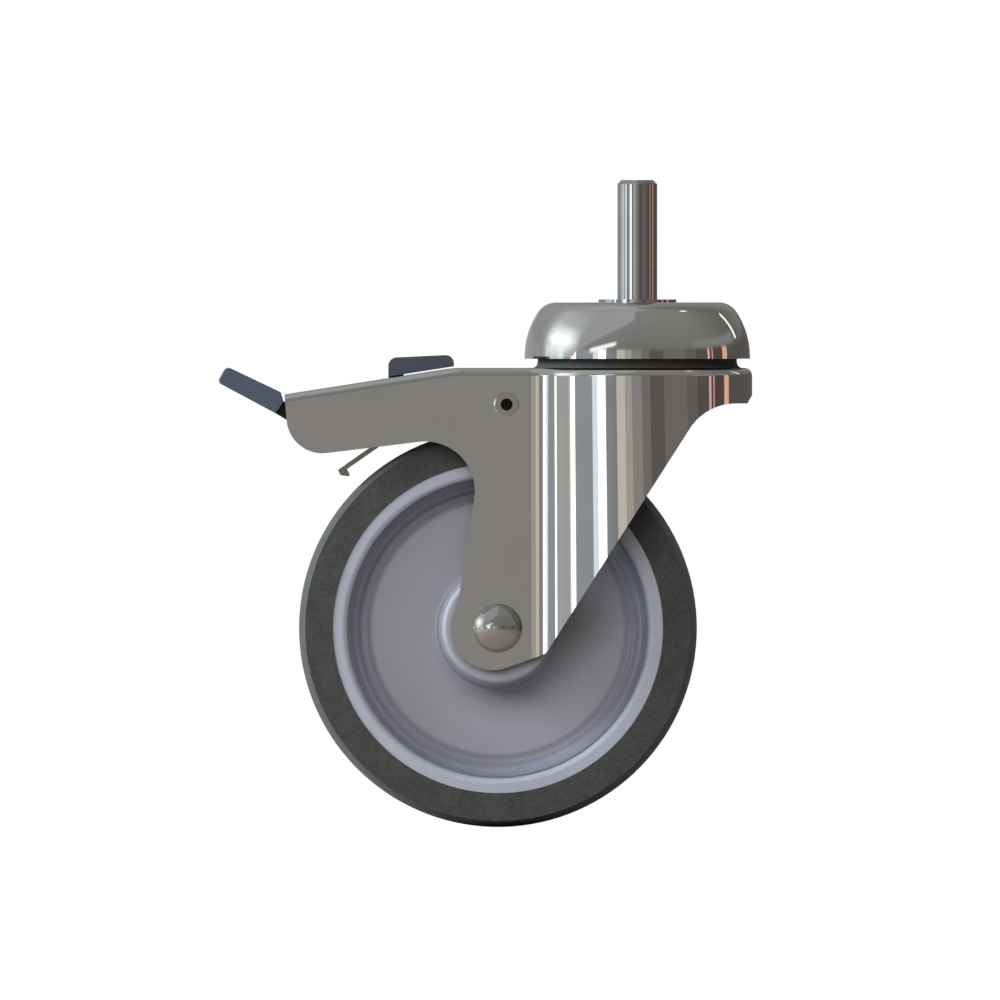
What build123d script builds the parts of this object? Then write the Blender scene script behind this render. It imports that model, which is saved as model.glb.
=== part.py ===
"""Swivel castor with a plain stem, a polished pressed fork and a total-lock pedal.

The origin is where the stem's axis meets the mounting face, the top of its collar.
+Z runs up the stem, the wheel trails towards -X and the axle lies along Y.
All lengths are millimetres.
"""

import os
from math import asin, atan2, cos, degrees, pi, radians, sin, sqrt, tan

from build123d import *

os.makedirs("parts", exist_ok=True)

# Driving dimensions of the wheel
wheel_r = 63.5
tread_half = 15.875
tread_crown = 2.0
tyre_shoulder_r = 3.0
tyre_height = 10.85
rim_land = 4.75
rim_lip_depth = 2.6
rim_lip_step = 0.6
rim_edge_r = 1.9
rim_inset = 0.275
rim_channel_depth = 2.05
rim_channel_half = 12.0
dish_wall_run = 4.9
dish_fillet_r = 3.2
dish_groove_r = 0.8
dish_groove_depth = 0.4
dish_groove_start = 4.0
dish_groove_pitch = 4.6
dish_groove_count = 2
web_half = 3.6
hub_face_r = 17.6
hub_base_r = 19.4
hub_fillet_r = 1.2
hub_edge_r = 1.5
hub_shoulder_bore_r = 11.2

# Bearings and axle
bearing_bore_r = 6.0
bearing_r = 12.7
bearing_width = 8.0
inner_ring_wall = 2.0
outer_ring_wall = 2.0
bearing_ball_r = 1.98
bearing_ball_count = 9
ball_clearance = 0.12
shield_thickness = 0.4
shield_inset = 0.3
axle_bolt_r = 4.0
axle_bolt_clearance = 0.1
axle_head_r = 7.82
axle_head_height = 4.4
axle_nut_flats = 13.0
axle_nut_height = 8.0
axle_thread_end = 1.0
axle_washer_r = 9.0
axle_washer_thickness = 1.25
spacer_wall = 1.8

# Head: stem, cap and swivel bearing
stem_r = 6.35
stem_length = 38.1
stem_chamfer = 1.3
collar_r = 12.46
collar_height = 0.96
kingpin_r = 6.0
cap_r = 35.96
cap_sheet = 2.0
cap_shoulder_r = 6.75
cap_flank_r = 25.5
cap_break_angle = 56.0
cap_skirt = 0.75
seal_height = 2.89
cup_ring_gap = 1.0
cup_sheet = 2.5
cup_floor = 3.0
swivel_ball_r = 2.38
groove_depth = 1.4
ball_spread = 1.13
upper_pitch_inset = 4.8
upper_race_inset = 0.3
upper_race_height = 3.5
lower_pitch_r = 13.5
lower_race_r = 18.0
lower_race_height = 2.46
lower_cup_floor = 3.0
kingpin_washer_r = 11.0
kingpin_washer_thickness = 1.5
kingpin_nut_flats = 18.0
kingpin_nut_height = 7.0
kingpin_end = 1.0
nut_chamfer = 0.6
lock_ring_sheet = 2.0
lock_ring_drop = 14.64
lock_tooth_seal_gap = 3.4
lock_tooth_depth = 5.7
lock_tooth_height = 2.3
lock_tooth_count = 24
lock_gap_share = 0.56
seal_lip_inset = 4.18
seal_foot_inset = 2.66
seal_bore_inset = 5.56
seal_waist = 1.94
seal_top_gap = 0.6

# Fork: one pressed and folded sheet
fork_sheet = 2.0
nose_overhang = 0.7
side_half = 23.55
side_blend_r = 13.9
top_bend_r = 2.6
swivel_offset = 44.45
tread_clearance = 19.56
nose_skirt = 11.38
nose_chamfer_run = 1.5
nose_chamfer_drop = 2.65
front_corner_x = 21.92
front_corner_r = 17.4
leg_toe_run = 15.25
leg_toe_drop = 8.2
leg_toe_r = 4.0
leg_end_r = 13.4
leg_end_shift = 1.75
leg_end_low_angle = -70.0
leg_end_back_angle = 162.0
leg_heel_run = 12.3
leg_heel_rise = 10.8
leg_heel_r = 12.0
arm_root_run = 4.35
arm_root_drop = 21.1
arm_root_r = 15.8
arm_end_run = 66.55
arm_end_drop = 28.66
arm_end_r = 11.5
arm_end_lean = 4.4
arm_slope_start = 14.2
arm_slope = 8.9
arm_bend_r = 25.0
axle_hole_clearance = 0.2

# Brake: rocking pedal, plate with claw and lock tongue
pivot_pin_run = 2.75
pivot_pin_drop = 11.7
pivot_pin_r = 3.0
pivot_head_r = 4.05
pivot_head_depth = 1.05
pivot_hole_r = 1.91
pivot_hole_depth = 7.0
running_clearance = 0.05
bush_wall = 0.95
bush_end_gap = 0.35
pedal_axis_run = 35.93
pedal_axis_drop = 10.39
pedal_pin_r = 2.5
pedal_pin_head_r = 3.6
pedal_pin_head = 1.0
pedal_pin_chamfer = 0.3
pedal_hub_r = 4.5
pedal_half = 11.0
cheek_gap = 0.5
bracket_sheet = 1.5
bracket_length = 12.0
bracket_start = 5.1
bracket_eye_r = 4.7
bracket_heel_drop = 3.2
cam_tip_r = 1.5
cam_run = 3.5
cam_drop = 11.85
cam_clearance = 0.3
plate_sheet = 1.5
plate_half = 10.0
plate_mid_slope = 20.2
plate_knee_run = 27.4
plate_front_run = 5.5
plate_bend_r = 5.0
plate_saddle_depth = 0.5
claw_angle = 133.5
claw_root_gap = 6.45
claw_heel_gap = 8.24
claw_tip_gap = 4.36
claw_tip_shift = 1.15
claw_tip_width = 0.64
claw_back = 2.85
claw_heel_slant = 0.5
claw_top_step = 0.7
tongue_inset = 3.0
tongue_width = 2.8
tongue_gap = 0.35
tongue_slot_clearance = 0.7
tongue_slot_back = 1.9
tongue_bend_r = 2.2
tongue_root_run = 6.6

# Pads
rear_pad_half = 20.0
rear_pad_angle = 28.2
rear_pad_length = 20.9
rear_pad_root_height = 6.75
rear_pad_nose_height = 5.85
rear_pad_run = 35.18
rear_pad_drop = 4.07
rear_pad_root_step = 4.55
rear_pad_root_lean = 0.6
rear_pad_crest_start = 1.6
rear_pad_nose_low_r = 1.35
rear_pad_nose_high_r = 1.8
rear_pad_edge_r = 0.5
tenon_length = 12.0
tenon_height = 2.4
tenon_half = 7.0
release_pad_half = 12.0
release_pad_front = 21.9
release_pad_back = 0.95
release_pad_top = 13.6
release_pad_tip_top = 14.6
release_pad_gap = 0.45
release_pad_r = 2.7
release_stem_half = 7.0
slot_clearance = 0.6
slot_back_run = 1.85
neck_low_run = 31.5
neck_low_drop = 6.25
lever_belly_run = 12.0
lever_belly_drop = 10.8
lever_top_run = 17.5
lever_top_drop = 0.4
lever_hump_run = 5.6
lever_hump_rise = 1.4
horn_width = 4.9
horn_tenon_width = 2.6
horn_tenon_length = 3.6
horn_tenon_half = 4.0
horn_tenon_shift = 0.8

# Return spring
spring_wire_r = 0.6
spring_coil_clearance = 0.3
spring_turns = 5
spring_pitch = 1.35
spring_side_gap = 1.6
spring_hook_run = 10.5
spring_hook_length = 5.0

# How near a corner must lie to its computed place to be picked for a fillet
pick_tolerance = 0.4

# Radii that follow from the cap
nose_r = cap_r + nose_overhang
seal_lip_r = cap_r - seal_lip_inset
seal_foot_r = cap_r - seal_foot_inset
seal_bore_r = cap_r - seal_bore_inset
lock_tooth_r = seal_bore_r - lock_tooth_seal_gap
lock_ring_bore_r = lock_tooth_r - lock_tooth_depth
tongue_r = lock_tooth_r - tongue_inset
cup_r = lock_ring_bore_r - cup_ring_gap
upper_race_r = cup_r - upper_race_inset
upper_pitch_r = cup_r - upper_pitch_inset
upper_race_bore_r = 2 * upper_pitch_r - upper_race_r
upper_ball_count = int(pi * upper_pitch_r / (swivel_ball_r * ball_spread))
lower_ball_count = int(pi * lower_pitch_r / (swivel_ball_r * ball_spread))

# Heights and places that follow
cap_top = -collar_height
cap_drop = (
    cap_shoulder_r * (1 - cos(radians(cap_break_angle)))
    + cap_flank_r * cos(radians(cap_break_angle))
    + cap_skirt
)
cap_bottom = cap_top - cap_drop
fork_top = cap_bottom - seal_height
roof_inner = fork_top - fork_sheet
inner_half = side_half - fork_sheet
axle_x = -swivel_offset
axle_z = fork_top - tread_clearance - wheel_r
pivot_x = axle_x + pivot_pin_run
pivot_z = fork_top - pivot_pin_drop
pedal_x = axle_x - pedal_axis_run
pedal_z = fork_top - pedal_axis_drop
hub_half = inner_half - axle_washer_thickness
rim_outer_r = wheel_r - tyre_height
rim_inner_r = rim_outer_r - rim_land
rim_half = tread_half - rim_inset
web_outer_r = rim_inner_r - dish_wall_run
bush_r = pivot_pin_r + running_clearance + bush_wall

axle_axis = Axis((axle_x, 0, axle_z), (0, 1, 0))
axle_section = Plane(origin=(axle_x, 0, axle_z))


def arm_roof(x, inset=0.0):
    """Height of the arm's sloping roof at x, lowered square to it by inset."""
    start = axle_x - arm_slope_start
    slope = radians(arm_slope)
    return fork_top - (start - x) * tan(slope) - inset / cos(slope)


def turned(points):
    """A ring or rod turned about the stem's axis from (radius, height) corners."""
    with BuildPart() as ring:
        with BuildSketch(Plane.XZ):
            with BuildLine():
                Polyline(*points, close=True)
            make_face()
        revolve(axis=Axis.Z)
    return ring.part


def axle_ring(inner_r, outer_r, y_low, y_high):
    """A plain ring about the axle between two places along it."""
    with BuildPart() as ring:
        with BuildSketch(axle_section):
            with Locations(((inner_r + outer_r) / 2, (y_low + y_high) / 2)):
                Rectangle(outer_r - inner_r, y_high - y_low)
        revolve(axis=axle_axis)
    return ring.part


def grooved(ring, pitch_r, groove_z, groove_r):
    """Cut a ball groove about the stem's axis into a ring."""
    with BuildPart() as track:
        add(ring)
        with BuildSketch(Plane.XZ):
            with Locations((pitch_r, groove_z)):
                Circle(groove_r)
        revolve(axis=Axis.Z, mode=Mode.SUBTRACT)
    return track.part


# Stem, collar and kingpin turned in one piece
upper_ball_z = fork_top + upper_race_height + swivel_ball_r - groove_depth
cup_bottom = upper_ball_z + swivel_ball_r - groove_depth
lower_ball_z = roof_inner - lower_race_height - swivel_ball_r + groove_depth
lower_cup_top = lower_ball_z - swivel_ball_r + groove_depth
lower_cup_bottom = lower_cup_top - lower_cup_floor
kingpin_washer_bottom = lower_cup_bottom - kingpin_washer_thickness
kingpin_nut_bottom = kingpin_washer_bottom - kingpin_nut_height
kingpin_bottom = kingpin_nut_bottom - kingpin_end
with BuildPart() as stem:
    with BuildSketch(Plane.XZ):
        with BuildLine():
            Polyline(
                (0, stem_length),
                (stem_r, stem_length),
                (stem_r, 0),
                (collar_r, 0),
                (collar_r, cap_top),
                (kingpin_r, cap_top),
                (kingpin_r, kingpin_bottom),
                (0, kingpin_bottom),
                close=True,
            )
        make_face()
    revolve(axis=Axis.Z)
    chamfer(stem.edges().group_by(Axis.Z)[-1], stem_chamfer)
    chamfer(stem.edges().group_by(Axis.Z)[0], nut_chamfer)
stem.part.label = "stem"
export_step(stem.part, "parts/stem.step")

# Domed cap, pressed from sheet, with a tight shoulder and a long flank
break_angle = radians(cap_break_angle)
cap_flat_r = cap_r - cap_shoulder_r * sin(break_angle) - cap_flank_r * (1 - sin(break_angle))


def cap_profile(inset):
    """Closed (radius, height) outline under the cap's surface, lowered by inset."""
    shoulder_r = cap_shoulder_r - inset
    flank_r = cap_flank_r - inset
    with BuildSketch(Plane.XZ) as outline:
        with BuildLine():
            top = Line((0, cap_top - inset), (cap_flat_r, cap_top - inset))
            shoulder = JernArc(top @ 1, (1, 0), shoulder_r, -cap_break_angle)
            flank = JernArc(shoulder @ 1, shoulder % 1, flank_r, cap_break_angle - 90)
            skirt = Line(flank @ 1, (cap_r - inset, cap_bottom))
            floor = Line(skirt @ 1, (0, cap_bottom))
            Line(floor @ 1, top @ 0)
        make_face()
    return outline.sketch


with BuildPart() as cap_inside:
    add(cap_profile(cap_sheet))
    revolve(axis=Axis.Z)

with BuildPart() as head_cover:
    add(cap_profile(0))
    revolve(axis=Axis.Z)
    add(cap_inside.part, mode=Mode.SUBTRACT)
    with Locations((0, 0, cap_top)):
        Hole(kingpin_r)
head_cover.part.label = "head_cover"
export_step(head_cover.part, "parts/head_cover.step")

# Pressed cup between the cap's roof and the upper balls
cap_roof = cap_top - cap_sheet
upper_cup = turned(
    [
        (kingpin_r, cup_bottom),
        (cup_r, cup_bottom),
        (cup_r, cap_roof),
        (cup_r - cup_sheet, cap_roof),
        (cup_r - cup_sheet, cup_bottom + cup_floor),
        (kingpin_r, cup_bottom + cup_floor),
    ]
)
groove_r = swivel_ball_r + ball_clearance
with BuildPart() as upper_race:
    add(grooved(upper_cup, upper_pitch_r, upper_ball_z, groove_r))
upper_race.part.label = "upper_race"
export_step(upper_race.part, "parts/upper_race.step")

# Toothed ring fixed inside the cap, which the brake's tongue enters from below
lock_ring_bottom = cap_top - lock_ring_drop - lock_ring_sheet
lock_tooth_bottom = lock_ring_bottom - lock_tooth_height
lock_gap_angle = 360 / lock_tooth_count * lock_gap_share
with BuildPart() as lock_ring:
    with BuildSketch(Plane.XY.offset(lock_ring_bottom)):
        Circle(cap_r)
        Circle(lock_ring_bore_r, mode=Mode.SUBTRACT)
    extrude(amount=lock_ring_sheet)
    add(cap_inside.part, mode=Mode.INTERSECT)
    with BuildSketch(Plane.XY.offset(lock_tooth_bottom)):
        Circle(lock_tooth_r)
        Circle(lock_ring_bore_r, mode=Mode.SUBTRACT)
        gap_reach = (lock_tooth_r + lock_ring_bore_r) * tan(radians(lock_gap_angle / 2))
        with PolarLocations(0, lock_tooth_count):
            with Locations((lock_tooth_r, 0)):
                Rectangle(2 * lock_ring_bore_r, gap_reach, mode=Mode.SUBTRACT)
    extrude(amount=lock_tooth_height)
lock_ring.part.label = "lock_ring"
export_step(lock_ring.part, "parts/lock_ring.step")

# Ball cup below the fork's roof, its washer and nut
lower_cup = turned(
    [
        (kingpin_r, lower_cup_bottom),
        (lower_race_r, lower_cup_bottom),
        (lower_race_r, lower_cup_top),
        (kingpin_r, lower_cup_top),
    ]
)
with BuildPart() as lower_race:
    add(grooved(lower_cup, lower_pitch_r, lower_ball_z, groove_r))
lower_race.part.label = "lower_race"
export_step(lower_race.part, "parts/lower_race.step")

with BuildPart() as kingpin_washer:
    with BuildSketch(Plane.XY.offset(kingpin_washer_bottom)):
        Circle(kingpin_washer_r)
        Circle(kingpin_r, mode=Mode.SUBTRACT)
    extrude(amount=kingpin_washer_thickness)
kingpin_washer.part.label = "kingpin_washer"
export_step(kingpin_washer.part, "parts/kingpin_washer.step")

with BuildPart() as kingpin_nut:
    with BuildSketch(Plane.XY.offset(kingpin_nut_bottom)):
        RegularPolygon(kingpin_nut_flats / 2, 6, major_radius=False)
        Circle(kingpin_r, mode=Mode.SUBTRACT)
    extrude(amount=kingpin_nut_height)
    chamfer(kingpin_nut.edges().filter_by(GeomType.LINE).group_by(Axis.Z)[0], nut_chamfer)
kingpin_nut.part.label = "kingpin_nut"
export_step(kingpin_nut.part, "parts/kingpin_nut.step")

# Ball tracks on both faces of the fork's roof, and the two ball rows
upper_track = turned(
    [
        (upper_race_bore_r, fork_top),
        (upper_race_r, fork_top),
        (upper_race_r, fork_top + upper_race_height),
        (upper_race_bore_r, fork_top + upper_race_height),
    ]
)
with BuildPart() as fork_race_upper:
    add(grooved(upper_track, upper_pitch_r, upper_ball_z, groove_r))
fork_race_upper.part.label = "fork_race_upper"
export_step(fork_race_upper.part, "parts/fork_race_upper.step")

lower_track = turned(
    [
        (lower_pitch_r - (lower_race_r - lower_pitch_r), roof_inner - lower_race_height),
        (lower_race_r, roof_inner - lower_race_height),
        (lower_race_r, roof_inner),
        (lower_pitch_r - (lower_race_r - lower_pitch_r), roof_inner),
    ]
)
with BuildPart() as fork_race_lower:
    add(grooved(lower_track, lower_pitch_r, lower_ball_z, groove_r))
fork_race_lower.part.label = "fork_race_lower"
export_step(fork_race_lower.part, "parts/fork_race_lower.step")

with BuildPart(Plane.XY.offset(upper_ball_z)) as upper_balls:
    with PolarLocations(upper_pitch_r, upper_ball_count):
        Sphere(swivel_ball_r)
upper_balls.part.label = "upper_balls"
export_step(upper_balls.part, "parts/upper_balls.step")

with BuildPart(Plane.XY.offset(lower_ball_z)) as lower_balls:
    with PolarLocations(lower_pitch_r, lower_ball_count):
        Sphere(swivel_ball_r)
lower_balls.part.label = "lower_balls"
export_step(lower_balls.part, "parts/lower_balls.step")

# Rubber dust seal on the fork's roof, waisted between fork and cap
seal_top = lock_ring_bottom - seal_top_gap
with BuildPart() as dust_seal:
    with BuildSketch(Plane.XZ):
        with BuildLine():
            foot = Line((seal_bore_r, fork_top), (seal_foot_r, fork_top))
            waist = (seal_lip_r, fork_top + seal_waist)
            TangentArc(waist, foot @ 1, tangent=(0, -1))
            lip = Line(waist, (seal_lip_r, seal_top))
            crown = Line(lip @ 1, (seal_bore_r, seal_top))
            Line(crown @ 1, foot @ 0)
        make_face()
    revolve(axis=Axis.Z)
dust_seal.part.label = "dust_seal"
export_step(dust_seal.part, "parts/dust_seal.step")

# Fork: roof with a rounded nose, two legs and a sloping arm, all one sheet
arm_tail_x = axle_x - arm_end_run - arm_end_r
leg_end_x = axle_x - leg_end_shift


def housing_block(inset):
    """Solid inside the folded sheet's outer or inner face, open tail included."""
    tail_roof = arm_roof(arm_tail_x, inset)
    slope_start = axle_x - arm_slope_start
    floor = axle_z - 2 * leg_end_r
    with BuildPart() as block:
        with BuildSketch(Plane.XY.offset(floor)) as plan:
            Circle(nose_r - inset)
            with Locations((arm_tail_x / 2, 0)):
                Rectangle(-arm_tail_x, 2 * (side_half - inset))
            meet_x = -sqrt((nose_r - inset) ** 2 - (side_half - inset) ** 2)
            corners = [v for v in plan.vertices() if abs(v.X - meet_x) < pick_tolerance]
            fillet(corners, side_blend_r + inset)
        extrude(amount=fork_top - floor)
        with BuildSketch(Plane.XZ):
            with BuildLine():
                FilletPolyline(
                    (arm_tail_x, tail_roof),
                    (slope_start, fork_top - inset),
                    (nose_r, fork_top - inset),
                    radius=arm_bend_r,
                )
                Polyline(
                    (nose_r, fork_top - inset),
                    (nose_r, floor),
                    (arm_tail_x, floor),
                    (arm_tail_x, tail_roof),
                )
            make_face()
        extrude(amount=nose_r, both=True, mode=Mode.INTERSECT)
        rim = block.edges().filter_by(lambda edge: is_roof_edge(edge, floor))
        fillet(rim, top_bend_r - inset)
    return block.part


def is_roof_edge(edge, floor):
    """True for the edges that run round the roof, apart from the open tail."""
    middle = edge @ 0.5
    level = abs((edge % 0.5).Z) < sin(radians(2 * arm_slope))
    crossing = abs((edge % 0.5).Y) > cos(radians(arm_slope)) and abs(middle.Y) < fork_sheet
    return level and middle.Z > floor + leg_end_r and not crossing


outer_block = housing_block(0)
inner_block = housing_block(fork_sheet)

toe = (axle_x + leg_toe_run, axle_z - leg_toe_drop)
heel = (axle_x - leg_heel_run, axle_z + leg_heel_rise)
arm_root = (axle_x - arm_root_run, fork_top - arm_root_drop)
arm_end = (axle_x - arm_end_run, fork_top - arm_end_drop)
lean = tan(radians(arm_end_lean))
above = fork_top + nose_skirt
arm_end_top = (arm_end[0] - lean * (above - arm_end[1]), above)
skirt_z = fork_top - nose_skirt


def leg_round(angle):
    """Point of the leg's round end at an angle, seen from the camera's side."""
    turn = radians(angle)
    return (leg_end_x + leg_end_r * cos(turn), axle_z + leg_end_r * sin(turn))


leg_low = leg_round(leg_end_low_angle)
leg_back = leg_round(leg_end_back_angle)
leg_middle = leg_round((leg_end_low_angle + leg_end_back_angle - 360) / 2)

square_corners = [0] * 5
stem_back_x = pedal_x + release_pad_back
stem_front_x = stem_back_x + horn_width
slot_back_x = pedal_x - slot_back_run
slot_front_x = stem_front_x + slot_clearance
tongue_x = -tongue_r
plate_top_z = pivot_z + bush_r - plate_saddle_depth + plate_sheet
with BuildPart() as fork:
    add(outer_block)
    add(inner_block, mode=Mode.SUBTRACT)
    with BuildSketch(Plane.XZ):
        with BuildLine():
            FilletPolyline(
                leg_back,
                heel,
                arm_root,
                arm_end,
                arm_end_top,
                (nose_r + nose_chamfer_run, above),
                (nose_r + nose_chamfer_run, skirt_z + nose_chamfer_drop),
                (nose_r, skirt_z + nose_chamfer_drop),
                (nose_r - nose_chamfer_run, skirt_z),
                (front_corner_x, skirt_z),
                toe,
                leg_low,
                radius=[
                    leg_heel_r,
                    arm_root_r,
                    arm_end_r,
                    *square_corners,
                    front_corner_r,
                    leg_toe_r,
                ],
            )
            ThreePointArc(leg_low, leg_middle, leg_back)
        make_face()
    extrude(amount=nose_r + nose_chamfer_run, both=True, mode=Mode.INTERSECT)
    with Locations((0, 0, fork_top)):
        Hole(upper_race_bore_r)
    with BuildSketch(Plane.XZ):
        with Locations((axle_x, axle_z)):
            Circle(axle_bolt_r + axle_hole_clearance)
        with Locations((pivot_x, pivot_z)):
            Circle(pivot_pin_r)
    extrude(amount=nose_r, both=True, mode=Mode.SUBTRACT)
    for side in (-1, 1):
        sink_y = side * (side_half - pivot_head_depth / 2)
        with Locations(Location((pivot_x, sink_y, pivot_z), (side * -90, 0, 0))):
            Cone(pivot_pin_r, pivot_head_r, pivot_head_depth, mode=Mode.SUBTRACT)
    with BuildSketch(Plane.XY.offset(roof_inner - nose_skirt)):
        with Locations(((slot_back_x + slot_front_x) / 2, 0)):
            Rectangle(slot_front_x - slot_back_x, 2 * (release_stem_half + slot_clearance))
        tongue_front = tongue_x + plate_sheet / 2 + tongue_slot_clearance
        tongue_rear = tongue_x - plate_sheet / 2 - tongue_slot_back
        with Locations(((tongue_front + tongue_rear) / 2, 0)):
            Rectangle(tongue_front - tongue_rear, tongue_width + 2 * tongue_slot_clearance)
    extrude(amount=2 * nose_skirt, mode=Mode.SUBTRACT)
fork.part.label = "fork"
export_step(fork.part, "parts/fork.step")

# Axle: dome head bolt, nut, sleeve, washers and the spacer between the bearings
axle_far_end = side_half + axle_nut_height + axle_thread_end
dome_ball_r = (axle_head_r**2 + axle_head_height**2) / (2 * axle_head_height)
dome_turn = atan2(axle_head_r, dome_ball_r - axle_head_height) / 2
crown_y = -side_half - axle_head_height
with BuildPart() as axle_bolt:
    with BuildSketch(axle_section):
        with BuildLine():
            ThreePointArc(
                (axle_head_r, -side_half),
                (dome_ball_r * sin(dome_turn), crown_y + dome_ball_r * (1 - cos(dome_turn))),
                (0, crown_y),
            )
            Polyline(
                (0, crown_y),
                (0, axle_far_end),
                (axle_bolt_r, axle_far_end),
                (axle_bolt_r, -side_half),
                (axle_head_r, -side_half),
            )
        make_face()
    revolve(axis=axle_axis)
    chamfer(axle_bolt.edges().group_by(Axis.Y)[-1], nut_chamfer)
axle_bolt.part.label = "axle_bolt"
export_step(axle_bolt.part, "parts/axle_bolt.step")

far_side = Plane(origin=(axle_x, side_half, axle_z), x_dir=(1, 0, 0), z_dir=(0, 1, 0))
with BuildPart() as axle_nut:
    with BuildSketch(far_side):
        RegularPolygon(axle_nut_flats / 2, 6, major_radius=False)
        Circle(axle_bolt_r, mode=Mode.SUBTRACT)
    extrude(amount=axle_nut_height)
    chamfer(axle_nut.edges().filter_by(GeomType.LINE).group_by(Axis.Y)[-1], nut_chamfer)
axle_nut.part.label = "axle_nut"
export_step(axle_nut.part, "parts/axle_nut.step")

with BuildPart() as axle_sleeve:
    add(axle_ring(axle_bolt_r + axle_bolt_clearance, bearing_bore_r, -inner_half, inner_half))
axle_sleeve.part.label = "axle_sleeve"
export_step(axle_sleeve.part, "parts/axle_sleeve.step")

with BuildPart() as axle_washers:
    add(axle_ring(bearing_bore_r, axle_washer_r, -inner_half, -hub_half))
    add(axle_ring(bearing_bore_r, axle_washer_r, hub_half, inner_half))
axle_washers.part.label = "axle_washers"
export_step(axle_washers.part, "parts/axle_washers.step")

spacer_half = hub_half - bearing_width
with BuildPart() as bearing_spacer:
    add(axle_ring(bearing_bore_r, bearing_bore_r + spacer_wall, -spacer_half, spacer_half))
bearing_spacer.part.label = "bearing_spacer"
export_step(bearing_spacer.part, "parts/bearing_spacer.step")

# Bearings: rings with ball grooves, balls and outside shields
ring_gap_inner_r = bearing_bore_r + inner_ring_wall
ring_gap_outer_r = bearing_r - outer_ring_wall
ball_pitch_r = (ring_gap_inner_r + ring_gap_outer_r) / 2
ball_y = hub_half - bearing_width / 2
bearing_groove_r = bearing_ball_r + ball_clearance


def bearing_rings(inner_r, outer_r):
    """The same ring of both bearings, with its groove cut by the ball's path."""
    with BuildPart() as rings:
        add(axle_ring(inner_r, outer_r, -hub_half, -spacer_half))
        add(axle_ring(inner_r, outer_r, spacer_half, hub_half))
        with BuildSketch(axle_section):
            with Locations((ball_pitch_r, ball_y), (ball_pitch_r, -ball_y)):
                Circle(bearing_groove_r)
        revolve(axis=axle_axis, mode=Mode.SUBTRACT)
    return rings.part


with BuildPart() as bearing_inner_rings:
    add(bearing_rings(bearing_bore_r, ring_gap_inner_r))
bearing_inner_rings.part.label = "bearing_inner_rings"
export_step(bearing_inner_rings.part, "parts/bearing_inner_rings.step")

with BuildPart() as bearing_outer_rings:
    add(bearing_rings(ring_gap_outer_r, bearing_r))
bearing_outer_rings.part.label = "bearing_outer_rings"
export_step(bearing_outer_rings.part, "parts/bearing_outer_rings.step")

near_row = Plane(origin=(axle_x, -ball_y, axle_z), x_dir=(1, 0, 0), z_dir=(0, 1, 0))
far_row = Plane(origin=(axle_x, ball_y, axle_z), x_dir=(1, 0, 0), z_dir=(0, 1, 0))
with BuildPart(near_row, far_row) as bearing_balls:
    with PolarLocations(ball_pitch_r, bearing_ball_count):
        Sphere(bearing_ball_r)
bearing_balls.part.label = "bearing_balls"
export_step(bearing_balls.part, "parts/bearing_balls.step")

shield_outer_y = hub_half - shield_inset
shield_inner_y = shield_outer_y - shield_thickness
shield_bore_r = ring_gap_inner_r + shield_inset
with BuildPart() as bearing_shields:
    add(axle_ring(shield_bore_r, ring_gap_outer_r, -shield_outer_y, -shield_inner_y))
    add(axle_ring(shield_bore_r, ring_gap_outer_r, shield_inner_y, shield_outer_y))
bearing_shields.part.label = "bearing_shields"
export_step(bearing_shields.part, "parts/bearing_shields.step")

# Moulded wheel centre: hub, dished web and rim with a channel for the tread
channel_r = rim_outer_r - rim_channel_depth
channel_lip = rim_channel_depth / 2
rim_lip_half = rim_half - rim_lip_depth
bore_corners = [0, 0, 0]
dish_corners = [hub_edge_r, hub_fillet_r, dish_fillet_r, 0, 0, rim_edge_r]
channel_corners = [0, 0, 0]
wheel_corners = bore_corners + dish_corners + channel_corners
wall_top_r = rim_inner_r - rim_lip_step
wall_slope = atan2(rim_lip_half - web_half, wall_top_r - web_outer_r)
groove_lift = dish_groove_r - dish_groove_depth
with BuildPart() as wheel_centre:
    with BuildSketch(axle_section):
        with BuildLine():
            FilletPolyline(
                (hub_shoulder_bore_r, 0),
                (hub_shoulder_bore_r, spacer_half),
                (bearing_r, spacer_half),
                (bearing_r, hub_half),
                (hub_face_r, hub_half),
                (hub_base_r, web_half),
                (web_outer_r, web_half),
                (wall_top_r, rim_lip_half),
                (rim_inner_r, rim_lip_half),
                (rim_inner_r, rim_half),
                (rim_outer_r, rim_half),
                (rim_outer_r, rim_channel_half + channel_lip),
                (channel_r, rim_channel_half),
                (channel_r, 0),
                radius=wheel_corners,
            )
            Line((channel_r, 0), (hub_shoulder_bore_r, 0))
        make_face()
        for groove in range(dish_groove_count):
            down_wall = dish_groove_start + groove * dish_groove_pitch
            groove_x = wall_top_r - down_wall * cos(wall_slope) - groove_lift * sin(wall_slope)
            groove_y = rim_lip_half - down_wall * sin(wall_slope) + groove_lift * cos(wall_slope)
            with Locations((groove_x, groove_y)):
                Circle(dish_groove_r, mode=Mode.SUBTRACT)
        mirror(about=Plane.XZ)
    revolve(axis=axle_axis)
wheel_centre.part.label = "wheel_centre"
export_step(wheel_centre.part, "parts/wheel_centre.step")

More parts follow.
